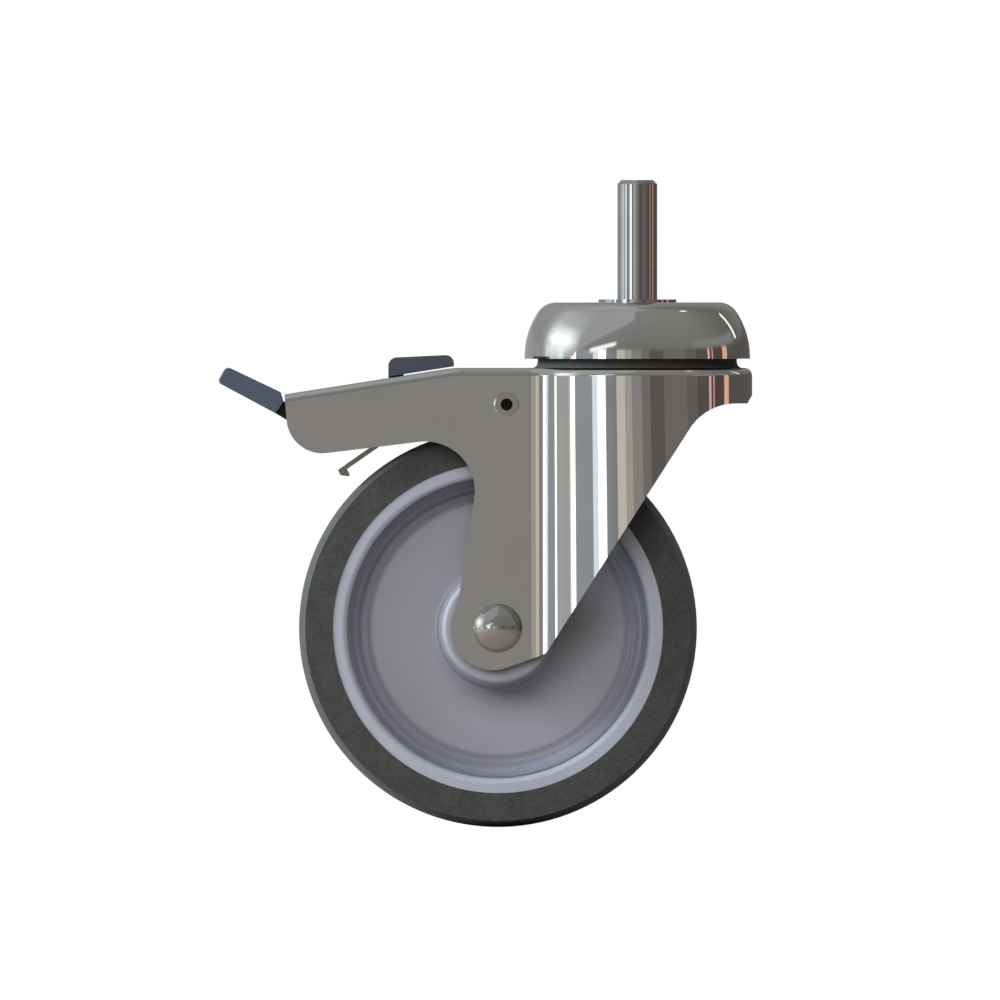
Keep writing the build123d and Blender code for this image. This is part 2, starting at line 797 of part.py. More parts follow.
# Rubber tread moulded onto the rim
with BuildPart() as tyre:
    with BuildSketch(axle_section) as tyre_section:
        with BuildLine():
            Polyline(
                (channel_r, 0),
                (channel_r, rim_channel_half),
                (rim_outer_r, rim_channel_half + channel_lip),
                (rim_outer_r, tread_half),
                (wheel_r - tread_crown, tread_half),
            )
            crown_r = (tread_half**2 + tread_crown**2) / (2 * tread_crown)
            RadiusArc((wheel_r - tread_crown, tread_half), (wheel_r, 0), crown_r)
            Line((wheel_r, 0), (channel_r, 0))
        make_face()
        mirror(about=Plane.XZ)
        shoulders = tyre_section.vertices().filter_by(
            lambda v: abs(v.X - axle_x - wheel_r + tread_crown) < pick_tolerance
        )
        fillet(shoulders, tyre_shoulder_r)
    revolve(axis=axle_axis)
tyre.part.label = "tyre"
export_step(tyre.part, "parts/tyre.step")

# Semi-tubular rivet that the brake plate turns on, flush in countersunk holes
with BuildPart() as pivot_pin:
    with BuildSketch(Plane(origin=(pivot_x, 0, pivot_z))):
        with BuildLine():
            Polyline(
                (0, 0),
                (0, side_half - pivot_hole_depth),
                (pivot_hole_r, side_half - pivot_hole_depth),
                (pivot_hole_r, side_half),
                (pivot_head_r, side_half),
                (pivot_pin_r, side_half - pivot_head_depth),
                (pivot_pin_r, 0),
                close=True,
            )
        make_face()
        mirror(about=Plane.XZ)
    revolve(axis=Axis((pivot_x, 0, pivot_z), (0, 1, 0)))
pivot_pin.part.label = "pivot_pin"
export_step(pivot_pin.part, "parts/pivot_pin.step")

bush_half = inner_half - bush_end_gap
with BuildPart() as brake_bush:
    with BuildSketch(Plane.XZ):
        with Locations((pivot_x, pivot_z)):
            Circle(bush_r)
            Circle(pivot_pin_r + running_clearance, mode=Mode.SUBTRACT)
    extrude(amount=bush_half, both=True)
brake_bush.part.label = "brake_bush"
export_step(brake_bush.part, "parts/brake_bush.step")

# Brake plate: claw, strip over the bush and tongue, folded from one strip
cam_x = pedal_x - cam_run
cam_z = pedal_z - cam_drop
claw_turn = radians(claw_angle)


def claw_point(gap, shift):
    """Point a gap outside the tread, shifted back from the claw's root."""
    reach = wheel_r + gap
    x = axle_x + reach * cos(claw_turn) - shift * sin(claw_turn)
    z = axle_z + reach * sin(claw_turn) + shift * cos(claw_turn)
    return (x, z)


claw_root = claw_point(claw_root_gap, 0)
to_cam_x = cam_x - claw_root[0]
to_cam_z = cam_z - claw_root[1]
cam_reach = sqrt(to_cam_x**2 + to_cam_z**2)
slope = atan2(to_cam_z, to_cam_x) - asin((cam_tip_r + cam_clearance + plate_sheet) / cam_reach)
strip_dir = (cos(slope), sin(slope))
strip_up = (-sin(slope), cos(slope))
claw_top = (
    claw_root[0] + plate_sheet * strip_up[0] - claw_top_step * strip_dir[0],
    claw_root[1] + plate_sheet * strip_up[1] - claw_top_step * strip_dir[1],
)
claw_join = (
    claw_root[0] + plate_sheet * (strip_up[0] / 2 + strip_dir[0]),
    claw_root[1] + plate_sheet * (strip_up[1] / 2 + strip_dir[1]),
)
knee_x = pivot_x - plate_knee_run
knee_z = claw_root[1] + (knee_x - claw_root[0]) * tan(slope) + plate_sheet / 2 / cos(slope)
level_z = plate_top_z - plate_sheet / 2
bend_x = pivot_x - plate_front_run
tongue_top = lock_tooth_bottom - tongue_gap
root_mid = (
    claw_root[0] + plate_sheet / 2 * strip_up[0],
    claw_root[1] + plate_sheet / 2 * strip_up[1],
)
with BuildPart() as brake_plate:
    with BuildSketch(Plane.XZ):
        with BuildLine() as strip_line:
            FilletPolyline(
                root_mid,
                (knee_x, knee_z),
                (bend_x, level_z),
                (tongue_x, level_z),
                radius=plate_bend_r,
            )
        trace(strip_line.line, plate_sheet)
        with BuildLine():
            Polyline(
                claw_root,
                claw_point(claw_tip_gap + claw_tip_width / 2, claw_tip_shift - claw_tip_width),
                claw_point(claw_tip_gap, claw_tip_shift),
                claw_point(claw_root_gap, claw_back),
                claw_point(claw_heel_gap, claw_back - claw_heel_slant),
                claw_top,
                claw_join,
                close=True,
            )
        make_face()
    extrude(amount=plate_half, both=True)
    with BuildSketch(Plane.XZ):
        with BuildLine() as tongue_line:
            FilletPolyline(
                (tongue_x - tongue_root_run, level_z),
                (tongue_x, level_z),
                (tongue_x, tongue_top),
                radius=tongue_bend_r,
            )
        trace(tongue_line.line, plate_sheet)
    extrude(amount=tongue_width / 2, both=True)
    with BuildSketch(Plane.XY.offset(level_z - plate_sheet)):
        for side in (-1, 1):
            with Locations((tongue_x, side * (plate_half + tongue_width / 2) / 2)):
                Rectangle(plate_half, plate_half - tongue_width / 2)
    extrude(amount=2 * plate_sheet, mode=Mode.SUBTRACT)
    with BuildSketch(Plane.XZ):
        with Locations((pivot_x, pivot_z)):
            Circle(bush_r)
    extrude(amount=plate_half, both=True, mode=Mode.SUBTRACT)
brake_plate.part.label = "brake_plate"
export_step(brake_plate.part, "parts/brake_plate.step")

# Bracket under the arm's roof that carries the pedal's pin
cheek_inner = pedal_half + cheek_gap
cheek_outer = cheek_inner + bracket_sheet
bracket_front_x = pedal_x - bracket_start
bracket_rear_x = bracket_front_x - bracket_length
eye_front_x = pedal_x + bracket_eye_r
with BuildPart() as pedal_bracket:
    with BuildSketch(Plane.XZ):
        with BuildLine():
            Polyline(
                (bracket_rear_x, arm_roof(bracket_rear_x, fork_sheet)),
                (eye_front_x, arm_roof(eye_front_x, fork_sheet)),
                (eye_front_x, pedal_z),
                (pedal_x, pedal_z - bracket_eye_r),
                (bracket_front_x, pedal_z - bracket_eye_r),
                (bracket_rear_x, arm_roof(bracket_rear_x, fork_sheet) - bracket_heel_drop),
                close=True,
            )
        make_face()
        with Locations((pedal_x, pedal_z)):
            Circle(bracket_eye_r)
    extrude(amount=cheek_outer, both=True)
    with BuildSketch(Plane.XZ):
        with BuildLine():
            below = fork_sheet + bracket_sheet
            Polyline(
                (arm_tail_x, arm_roof(arm_tail_x, below)),
                (bracket_front_x, arm_roof(bracket_front_x, below)),
                (bracket_front_x, fork_top),
                (axle_x, fork_top),
                (axle_x, pedal_z - 2 * bracket_eye_r),
                (arm_tail_x, pedal_z - 2 * bracket_eye_r),
                close=True,
            )
        make_face()
    extrude(amount=cheek_inner, both=True, mode=Mode.SUBTRACT)
    with BuildSketch(Plane.XZ):
        with Locations((pedal_x, pedal_z)):
            Circle(pedal_pin_r)
    extrude(amount=cheek_outer, both=True, mode=Mode.SUBTRACT)
pedal_bracket.part.label = "pedal_bracket"
export_step(pedal_bracket.part, "parts/pedal_bracket.step")

with BuildPart() as pedal_pin:
    with BuildSketch(Plane.XZ):
        with Locations((pedal_x, pedal_z)):
            Circle(pedal_pin_r)
    extrude(amount=cheek_outer, both=True)
    for side in (-1, 1):
        head_face = Plane(origin=(pedal_x, side * cheek_outer, pedal_z), z_dir=(0, side, 0))
        with BuildSketch(head_face):
            Circle(pedal_pin_head_r)
        extrude(amount=pedal_pin_head)
    chamfer(pedal_pin.edges().group_by(Axis.Y)[0], pedal_pin_chamfer)
    chamfer(pedal_pin.edges().group_by(Axis.Y)[-1], pedal_pin_chamfer)
pedal_pin.part.label = "pedal_pin"
export_step(pedal_pin.part, "parts/pedal_pin.step")

# Rear pad in its own slanted frame: along towards the nose, up square to it
pad_turn = radians(rear_pad_angle)
pad_root = (pedal_x - rear_pad_run, pedal_z - rear_pad_drop)


def pad_point(along, up):
    """Point of the side view a distance along the rear pad and above its underside."""
    x = pad_root[0] - along * cos(pad_turn) + up * sin(pad_turn)
    z = pad_root[1] + along * sin(pad_turn) + up * cos(pad_turn)
    return (x, z)


def tenon_outline():
    """Corners of the lever's flat end inside the rear pad."""
    low = (rear_pad_root_step - tenon_height) / 2
    return [
        pad_point(-tenon_height, low),
        pad_point(tenon_length, low),
        pad_point(tenon_length, low + tenon_height),
        pad_point(-tenon_height, low + tenon_height),
    ]


pad_step = pad_point(-rear_pad_root_lean, rear_pad_root_step)
with BuildPart() as rear_pad:
    with BuildSketch(Plane.XZ):
        with BuildLine():
            FilletPolyline(
                pad_root,
                pad_point(rear_pad_length, 0),
                pad_point(rear_pad_length, rear_pad_nose_height),
                pad_point(rear_pad_crest_start, rear_pad_root_height),
                pad_step,
                radius=[0, rear_pad_nose_low_r, rear_pad_nose_high_r, rear_pad_edge_r, 0],
                close=True,
            )
        make_face()
    extrude(amount=rear_pad_half, both=True)
    nose_corners = rear_pad.edges().filter_by(
        lambda edge: (edge @ 0.5).X < pad_point(rear_pad_length - rear_pad_nose_height, 0)[0]
        and abs((edge % 0.5).Y) < pick_tolerance
        and abs((edge @ 0.5).Y) > rear_pad_half / 2
    )
    fillet(nose_corners, rear_pad_edge_r)
    with BuildSketch(Plane.XZ):
        with BuildLine():
            Polyline(*tenon_outline(), close=True)
        make_face()
    extrude(amount=tenon_half, both=True, mode=Mode.SUBTRACT)
rear_pad.part.label = "rear_pad"
export_step(rear_pad.part, "parts/rear_pad.step")

# Release pad on top of the arm, its stem going down through the roof to the lever
horn_top_z = pedal_z + pedal_hub_r
pad_front_x = pedal_x + release_pad_front
horn_tenon_x = (stem_back_x + stem_front_x) / 2 + horn_tenon_shift


def horn_tenon():
    """Sketch of the lever's tenon that the release pad's stem sits on."""
    with BuildSketch(Plane.XY.offset(horn_top_z)) as peg:
        with Locations((horn_tenon_x, 0)):
            Rectangle(horn_tenon_width, 2 * horn_tenon_half)
    return peg.sketch


with BuildPart() as release_pad:
    with BuildSketch(Plane.XZ):
        with BuildLine():
            FilletPolyline(
                (stem_back_x, horn_top_z),
                (stem_back_x, pedal_z + release_pad_top),
                (pad_front_x, pedal_z + release_pad_tip_top),
                (pad_front_x, arm_roof(pad_front_x) + release_pad_gap),
                (stem_front_x, arm_roof(stem_front_x) + release_pad_gap),
                (stem_front_x, horn_top_z),
                radius=[0, release_pad_r, release_pad_r, 0, 0, 0],
                close=True,
            )
        make_face()
    extrude(amount=release_pad_half, both=True)
    for side in (-1, 1):
        with BuildSketch(Plane.XZ.offset(side * release_pad_half)):
            with BuildLine():
                Polyline(
                    (pedal_x, arm_roof(pedal_x) + release_pad_gap),
                    (stem_front_x, arm_roof(stem_front_x) + release_pad_gap),
                    (stem_front_x, horn_top_z),
                    (pedal_x, horn_top_z),
                    close=True,
                )
            make_face()
        extrude(amount=side * (release_stem_half - release_pad_half), mode=Mode.SUBTRACT)
    add(horn_tenon())
    extrude(amount=horn_tenon_length, mode=Mode.SUBTRACT)
release_pad.part.label = "release_pad"
export_step(release_pad.part, "parts/release_pad.step")

# Black rocking lever between the pads, with its eye and the cam that moves the plate
with BuildPart() as pedal_lever:
    with BuildSketch(Plane.XZ):
        with BuildLine():
            Polyline(
                pad_root,
                pad_step,
                (pedal_x - lever_top_run, pedal_z - lever_top_drop),
                (pedal_x - lever_hump_run, pedal_z + lever_hump_rise),
                (pedal_x, pedal_z + lever_hump_rise),
                (pedal_x + pedal_hub_r * cos(slope), pedal_z - pedal_hub_r * sin(slope)),
                (cam_x + cam_tip_r * cos(slope), cam_z - cam_tip_r * sin(slope)),
                (cam_x - cam_tip_r, cam_z),
                (pedal_x - lever_belly_run, pedal_z - lever_belly_drop),
                (pedal_x - neck_low_run, pedal_z - neck_low_drop),
                close=True,
            )
        make_face()
        with Locations((pedal_x, pedal_z)):
            Circle(pedal_hub_r)
        with Locations((cam_x, cam_z)):
            Circle(cam_tip_r)
    extrude(amount=pedal_half, both=True)
    with BuildSketch(Plane.XZ):
        with BuildLine():
            Polyline(
                (stem_back_x, pedal_z),
                (stem_back_x, horn_top_z),
                (stem_front_x, horn_top_z),
                (stem_front_x, pedal_z - pedal_pin_r),
                (pedal_x, pedal_z - pedal_pin_r),
                close=True,
            )
        make_face()
    extrude(amount=release_stem_half, both=True)
    with BuildSketch(Plane.XZ):
        with BuildLine():
            Polyline(*tenon_outline(), close=True)
        make_face()
    extrude(amount=tenon_half, both=True)
    add(horn_tenon())
    extrude(amount=horn_tenon_length)
    with BuildSketch(Plane.XZ):
        with Locations((pedal_x, pedal_z)):
            Circle(pedal_pin_r + running_clearance)
    extrude(amount=pedal_half, both=True, mode=Mode.SUBTRACT)
pedal_lever.part.label = "pedal_lever"
export_step(pedal_lever.part, "parts/pedal_lever.step")

# Torsion spring round the bush, one leg hooked under the plate, the other to the roof
coil_r = bush_r + spring_coil_clearance + spring_wire_r
coil_start_y = plate_half + spring_side_gap
mid_slope = atan2(level_z - knee_z, bend_x - knee_x)
hook_x = pivot_x - spring_hook_run
hook_drop = (plate_sheet / 2 + spring_wire_r + running_clearance) / cos(mid_slope)
hook_rise = level_z - (bend_x - hook_x) * tan(mid_slope) - hook_drop - pivot_z
hook_reach = sqrt(spring_hook_run**2 + hook_rise**2)
hook_leg_length = sqrt(hook_reach**2 - coil_r**2)
leg_lean = asin(coil_r / hook_reach) - atan2(hook_rise, spring_hook_run)
leg_top_z = roof_inner - spring_wire_r - running_clearance
with BuildPart() as return_spring:
    with BuildLine() as spring_wire:
        coil = Helix(
            spring_pitch,
            spring_turns * spring_pitch,
            coil_r,
            center=(pivot_x, coil_start_y, pivot_z),
            direction=(0, 1, 0),
            mode=Mode.PRIVATE,
        )
        coil = coil.rotate(Axis((pivot_x, 0, pivot_z), (0, 1, 0)), -degrees(leg_lean))
        add(coil)
        hook_bend = coil @ 0 - coil % 0 * hook_leg_length
        hook_tip = hook_bend - Vector(0, spring_hook_length, 0)
        FilletPolyline(hook_tip, hook_bend, coil @ 0, radius=2 * spring_wire_r)
        roof_leg_length = (leg_top_z - (coil @ 1).Z) / (coil % 1).Z
        Line(coil @ 1, coil @ 1 + coil % 1 * roof_leg_length)
    spring_path = spring_wire.wires()[0]
    with BuildSketch(Plane(origin=spring_path @ 0, z_dir=spring_path % 0)):
        Circle(spring_wire_r)
    sweep(path=spring_path)
return_spring.part.label = "return_spring"
export_step(return_spring.part, "parts/return_spring.step")
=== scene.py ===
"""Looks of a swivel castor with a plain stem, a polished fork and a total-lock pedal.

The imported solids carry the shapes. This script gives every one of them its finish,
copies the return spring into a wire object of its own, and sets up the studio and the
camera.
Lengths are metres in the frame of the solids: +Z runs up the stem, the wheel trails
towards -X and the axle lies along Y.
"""

import logging
import math
from collections.abc import Sequence
from dataclasses import dataclass, field
from enum import Enum
from typing import ClassVar, Protocol

import bpy
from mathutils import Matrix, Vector

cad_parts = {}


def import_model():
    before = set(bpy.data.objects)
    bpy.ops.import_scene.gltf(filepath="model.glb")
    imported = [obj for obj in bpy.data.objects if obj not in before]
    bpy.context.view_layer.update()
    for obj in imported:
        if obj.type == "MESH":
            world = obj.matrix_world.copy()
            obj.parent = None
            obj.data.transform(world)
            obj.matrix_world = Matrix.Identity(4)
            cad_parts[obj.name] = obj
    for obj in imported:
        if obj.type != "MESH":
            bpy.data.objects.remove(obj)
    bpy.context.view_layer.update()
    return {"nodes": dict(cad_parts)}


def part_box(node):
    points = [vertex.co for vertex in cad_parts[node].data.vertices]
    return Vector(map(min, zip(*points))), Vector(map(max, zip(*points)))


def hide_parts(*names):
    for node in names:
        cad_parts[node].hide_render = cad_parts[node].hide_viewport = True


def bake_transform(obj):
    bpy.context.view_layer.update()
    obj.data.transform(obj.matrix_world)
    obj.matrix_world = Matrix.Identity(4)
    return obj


LOG = logging.getLogger("castor")

Colour = tuple[float, float, float]
Point = tuple[float, float, float]
Spread = tuple[float, float]
Stop = tuple[float, Colour]
Socket = bpy.types.NodeSocket
Value = Socket | float
Paint = Socket | Colour

AXLE: Point = (-0.04445, 0.0, -0.104895)
WHITE: Colour = (1.0, 1.0, 1.0)


class Grain(Enum):
    """Direction in which a metal was ground, brushed or turned."""

    ALONG_X = (0.04, 1.0, 1.0)
    ALONG_Y = (1.0, 0.04, 1.0)
    NONE = (1.0, 1.0, 1.0)


class Turning(Enum):
    """Line about which a piece was turned: the way it runs, then the two ways across it."""

    STEM = ("Z", "X", "Y")
    AXLE = ("Y", "X", "Z")


class Sum(Enum):
    """Step of arithmetic on one or two values."""

    ADD = "ADD"
    SUBTRACT = "SUBTRACT"
    MULTIPLY = "MULTIPLY"
    DIVIDE = "DIVIDE"
    MAXIMUM = "MAXIMUM"
    ABSOLUTE = "ABSOLUTE"
    ROOT = "SQRT"
    ARCSINE = "ARCSINE"
    ARCTANGENT = "ARCTAN2"


class Passing(Enum):
    """How a ramp's colours pass from one stop to the next."""

    EVEN = "LINEAR"
    STEPPED = "CONSTANT"


@dataclass(frozen=True)
class Mottle:
    """A noise pattern: features per metre, how many finer layers and how strong they are."""

    scale: float
    detail: float
    rough: float


@dataclass(frozen=True)
class Relief:
    """How a pattern lifts a surface: its depth in metres and the share of it that shows."""

    depth: float
    strength: float


def tint(colour: Colour, factor: float) -> Colour:
    """A colour made lighter or darker, never past full."""
    return tuple(min(1.0, channel * factor) for channel in colour)


def grey(level: float) -> Colour:
    """The neutral colour of one level."""
    return (level, level, level)


@dataclass
class NodeBench:
    """A node tree and the plain steps that build it."""

    name: str
    tree: bpy.types.NodeTree = field(init=False)

    def node(self, kind: str, **settings: object) -> bpy.types.Node:
        """Add a node.

        Args:
            kind: Blender's name for the node type.
            settings: Properties to set on the node.

        Returns:
            The new node.
        """
        made = self.tree.nodes.new(kind)
        for key, value in settings.items():
            setattr(made, key, value)
        return made

    def join(self, source: Socket, target: Socket) -> None:
        """Link one socket to another."""
        self.tree.links.new(source, target)

    def parts(self, vector: Socket) -> bpy.types.Node:
        """Split a vector.

        Args:
            vector: Socket to split.

        Returns:
            The node whose outputs X, Y and Z are the vector's parts.
        """
        made = self.node("ShaderNodeSeparateXYZ")
        self.join(vector, made.inputs[0])
        return made

    def maths(self, step: Sum, first: Value, second: Value | None = None) -> Socket:
        """Reckon with sockets or numbers.

        Args:
            step: What is done with them.
            first: Socket or number.
            second: Socket, number or nothing.

        Returns:
            The result's socket.
        """
        made = self.node("ShaderNodeMath", operation=step.value)
        for index, value in enumerate((first, second)):
            if isinstance(value, (int, float)):
                made.inputs[index].default_value = value
            elif value is not None:
                self.join(value, made.inputs[index])
        return made.outputs[0]

    def between(
        self, factor: Socket, low: float, high: float, start: float = 0.3, end: float = 0.7
    ) -> Socket:
        """Map a factor's middle range onto low to high.

        Args:
            factor: Socket to map.
            low: Result at start and below.
            high: Result at end and above.
            start: Factor that gives low.
            end: Factor that gives high.

        Returns:
            The result's socket.
        """
        made = self.node("ShaderNodeMapRange", clamp=True)
        self.join(factor, made.inputs["Value"])
        limits = {"From Min": start, "From Max": end, "To Min": low, "To Max": high}
        for key, value in limits.items():
            made.inputs[key].default_value = value
        return made.outputs["Result"]

    def blend(self, factor: Socket, first: Paint, second: Paint) -> Socket:
        """Mix two colours.

        Args:
            factor: Socket with the share of the second.
            first: Colour or socket.
            second: Colour or socket.

        Returns:
            The colour socket.
        """
        made = self.node("ShaderNodeMix", data_type="RGBA")
        self.join(factor, made.inputs["Factor"])
        for index, value in ((6, first), (7, second)):
            if isinstance(value, tuple):
                made.inputs[index].default_value = (*value, 1.0)
            else:
                self.join(value, made.inputs[index])
        return made.outputs[2]

    def multiply(self, first: Socket, second: Socket) -> Socket:
        """Multiply two colours.

        Args:
            first: Colour socket.
            second: Colour socket.

        Returns:
            The colour socket.
        """
        made = self.node("ShaderNodeMix", data_type="RGBA", blend_type="MULTIPLY")
        made.inputs["Factor"].default_value = 1.0
        self.join(first, made.inputs[6])
        self.join(second, made.inputs[7])
        return made.outputs[2]

    def ramp(
        self, factor: Socket, stops: Sequence[Stop], passing: Passing = Passing.EVEN
    ) -> Socket:
        """A colour ramp.

        Args:
            factor: Socket that runs from 0 to 1.
            stops: (place, colour) pairs in rising order, places from 0 to 1.
            passing: How colours pass from one stop to the next.

        Returns:
            The colour socket.
        """
        made = self.node("ShaderNodeValToRGB")
        self.join(factor, made.inputs["Fac"])
        made.color_ramp.interpolation = passing.value
        elements = made.color_ramp.elements
        for element, (place, colour) in zip(elements, (stops[0], stops[-1])):
            element.position = place
            element.color = (*colour, 1.0)
        for place, colour in stops[1:-1]:
            elements.new(place).color = (*colour, 1.0)
        return made.outputs["Color"]


@dataclass
class ShaderTree(NodeBench):
    """A material's node tree, with one surface shader."""

    material: bpy.types.Material = field(init=False)
    surface: bpy.types.Node = field(init=False)

    def __post_init__(self) -> None:
        """Make the material with one surface shader joined to its output."""
        self.material = bpy.data.materials.new(self.name)
        self.material.use_nodes = True
        self.tree = self.material.node_tree
        self.surface = self.tree.nodes["Principled BSDF"]

    def place(self, shift: Point = (0.0, 0.0, 0.0), scale: Point = (1.0, 1.0, 1.0)) -> Socket:
        """Piece coordinates, moved by shift and then scaled.

        Args:
            shift: Offset in metres, added before scaling.
            scale: Factor on each axis.

        Returns:
            The vector socket with the coordinates.
        """
        where = self.node("ShaderNodeTexCoord")
        moved = self.node("ShaderNodeVectorMath", operation="ADD")
        self.join(where.outputs["Object"], moved.inputs[0])
        moved.inputs[1].default_value = shift
        scaled = self.node("ShaderNodeVectorMath", operation="MULTIPLY")
        self.join(moved.outputs[0], scaled.inputs[0])
        scaled.inputs[1].default_value = scale
        return scaled.outputs[0]

    def turned_place(self, about: Turning, centre: Point) -> Socket:
        """Radius and height about a turning axis, as a vector.

        Args:
            about: Axis that the piece was turned on.
            centre: A point of that axis, in metres.

        Returns:
            A vector socket whose X is the radius and whose Y runs along the axis.
        """
        along, *across = about.value
        split = self.parts(self.place(shift=(-centre[0], -centre[1], -centre[2])))
        square = [
            self.maths(Sum.MULTIPLY, split.outputs[way], split.outputs[way]) for way in across
        ]
        both = self.node("ShaderNodeCombineXYZ")
        self.join(self.maths(Sum.ROOT, self.maths(Sum.ADD, *square)), both.inputs["X"])
        self.join(split.outputs[along], both.inputs["Y"])
        return both.outputs[0]

    def facing_down(self, start: float = 0.25, end: float = 0.4) -> Socket:
        """How far a surface faces down, by the height part of its normal.

        Args:
            start: Lean at which it begins to count.
            end: Lean from which it counts in full.

        Returns:
            The factor socket, 0 to 1.
        """
        where = self.node("ShaderNodeTexCoord")
        height = self.parts(where.outputs["Normal"]).outputs["Z"]
        return self.between(height, 1.0, 0.0, -end, -start)

    def noise(self, place: Socket, pattern: Mottle) -> Socket:
        """Cloudy noise between 0 and 1.

        Args:
            place: Vector socket to read it at.
            pattern: Its size and layers.

        Returns:
            The factor socket.
        """
        made = self.node("ShaderNodeTexNoise")
        self.join(place, made.inputs["Vector"])
        made.inputs["Scale"].default_value = pattern.scale
        made.inputs["Detail"].default_value = pattern.detail
        made.inputs["Roughness"].default_value = pattern.rough
        return made.outputs["Fac"]

    def pits(self, place: Socket, scale: float) -> Socket:
        """Distance to the nearest of many scattered points, for pits and pebbling.

        Args:
            place: Vector socket to read it at.
            scale: Points per metre.

        Returns:
            The distance socket.
        """
        made = self.node("ShaderNodeTexVoronoi", feature="SMOOTH_F1")
        self.join(place, made.inputs["Vector"])
        made.inputs["Scale"].default_value = scale
        return made.outputs["Distance"]

    def bump(self, height: Socket, relief: Relief, under: Socket | None = None) -> Socket:
        """Surface relief from a height.

        Args:
            height: Socket with the height, 0 to 1.
            relief: How much of it shows.
            under: Normal socket of relief below this one.

        Returns:
            The normal socket.
        """
        made = self.node("ShaderNodeBump")
        made.inputs["Distance"].default_value = relief.depth
        made.inputs["Strength"].default_value = relief.strength
        self.join(height, made.inputs["Height"])
        if under is not None:
            self.join(under, made.inputs["Normal"])
        return made.outputs["Normal"]

    def shades(self, factor: Socket, colour: Colour, spread: Spread) -> Socket:
        """A colour that drifts between two tints of itself.

        Args:
            factor: Socket that drives the drift.
            colour: The colour.
            spread: Factors of the two tints.

        Returns:
            The colour socket.
        """
        first, second = (tint(colour, share) for share in spread)
        return self.blend(self.between(factor, 0.0, 1.0), first, second)

    def gloss(
        self, roughness: float, fine: Socket, spread: Spread, broad: Socket, added: float
    ) -> Socket:
        """Roughness that varies finely, with more of it in broad patches.

        Args:
            roughness: Its middle value.
            fine: Socket of the fine pattern.
            spread: Shares of the roughness that the fine pattern runs between.
            broad: Socket of the broad pattern.
            added: Share of the roughness that the broad pattern adds at most.

        Returns:
            The roughness socket.
        """
        low, high = (roughness * share for share in spread)
        return self.maths(
            Sum.ADD,
            self.between(fine, low, high),
            self.between(broad, 0.0, roughness * added),
        )

    def set(self, **values: Paint | Value) -> None:
        """Set or join sockets of the surface shader.

        Args:
            values: Numbers, colours or sockets, each by the socket's name with underscores.
        """
        for key, value in values.items():
            socket = self.surface.inputs[key.replace("_", " ")]
            if isinstance(value, Socket):
                self.join(value, socket)
            elif isinstance(value, tuple):
                socket.default_value = (*value, 1.0)
            else:
                socket.default_value = value


class Finish(Protocol):
    """What a piece's surface looks like."""

    name: str

    def material(self) -> bpy.types.Material:
        """The finish as a material."""


@dataclass(frozen=True)
class PolishedSheet:
    """Mirror-polished stainless sheet with a trace of its polishing direction."""

    name: str = "polished_sheet"
    colour: Colour = (0.62, 0.62, 0.605)
    grain: Grain = Grain.ALONG_X
    roughness: float = 0.035
    # Colour of faces that face down: partly the dull grey of sheared edges, partly painted shade
    # under the sheet.
    sheared_and_shaded_colour: Colour = (0.2, 0.195, 0.19)
    sheared_roughness: float = 0.3
    line_pattern: Mottle = Mottle(5200.0, 2.0, 0.6)
    cloud_pattern: Mottle = Mottle(42.0, 3.0, 0.55)
    speck_pattern: Mottle = Mottle(2600.0, 1.0, 0.5)
    line_relief: Relief = Relief(3e-7, 0.35)
    speck_relief: Relief = Relief(2e-7, 0.25)

    def material(self) -> bpy.types.Material:
        """The finish as a material, duller and darker on faces that face down: rougher like
        sheared edges, and darker by painted shade under the sheet.

        Returns:
            The material.
        """
        shader = ShaderTree(self.name)
        # Faces that face down get painted shade in their colour and the rougher finish of sheared
        # edges.
        facing_down_share = shader.facing_down()
        lines = shader.noise(shader.place(scale=self.grain.value), self.line_pattern)
        clouds = shader.noise(shader.place(), self.cloud_pattern)
        specks = shader.noise(shader.place(), self.speck_pattern)
        shader.set(
            Base_Color=shader.blend(
                facing_down_share, shader.shades(clouds, self.colour, (1.0, 0.965)), self.sheared_and_shaded_colour
            ),
            Metallic=1.0,
            Roughness=shader.maths(
                Sum.ADD,
                shader.between(facing_down_share, 0.0, self.sheared_roughness, 0.0, 1.0),
                shader.gloss(self.roughness, lines, (0.8, 1.15), clouds, 0.35),
            ),
            Normal=shader.bump(
                lines, self.line_relief, shader.bump(specks, self.speck_relief)
            ),
        )
        return shader.material


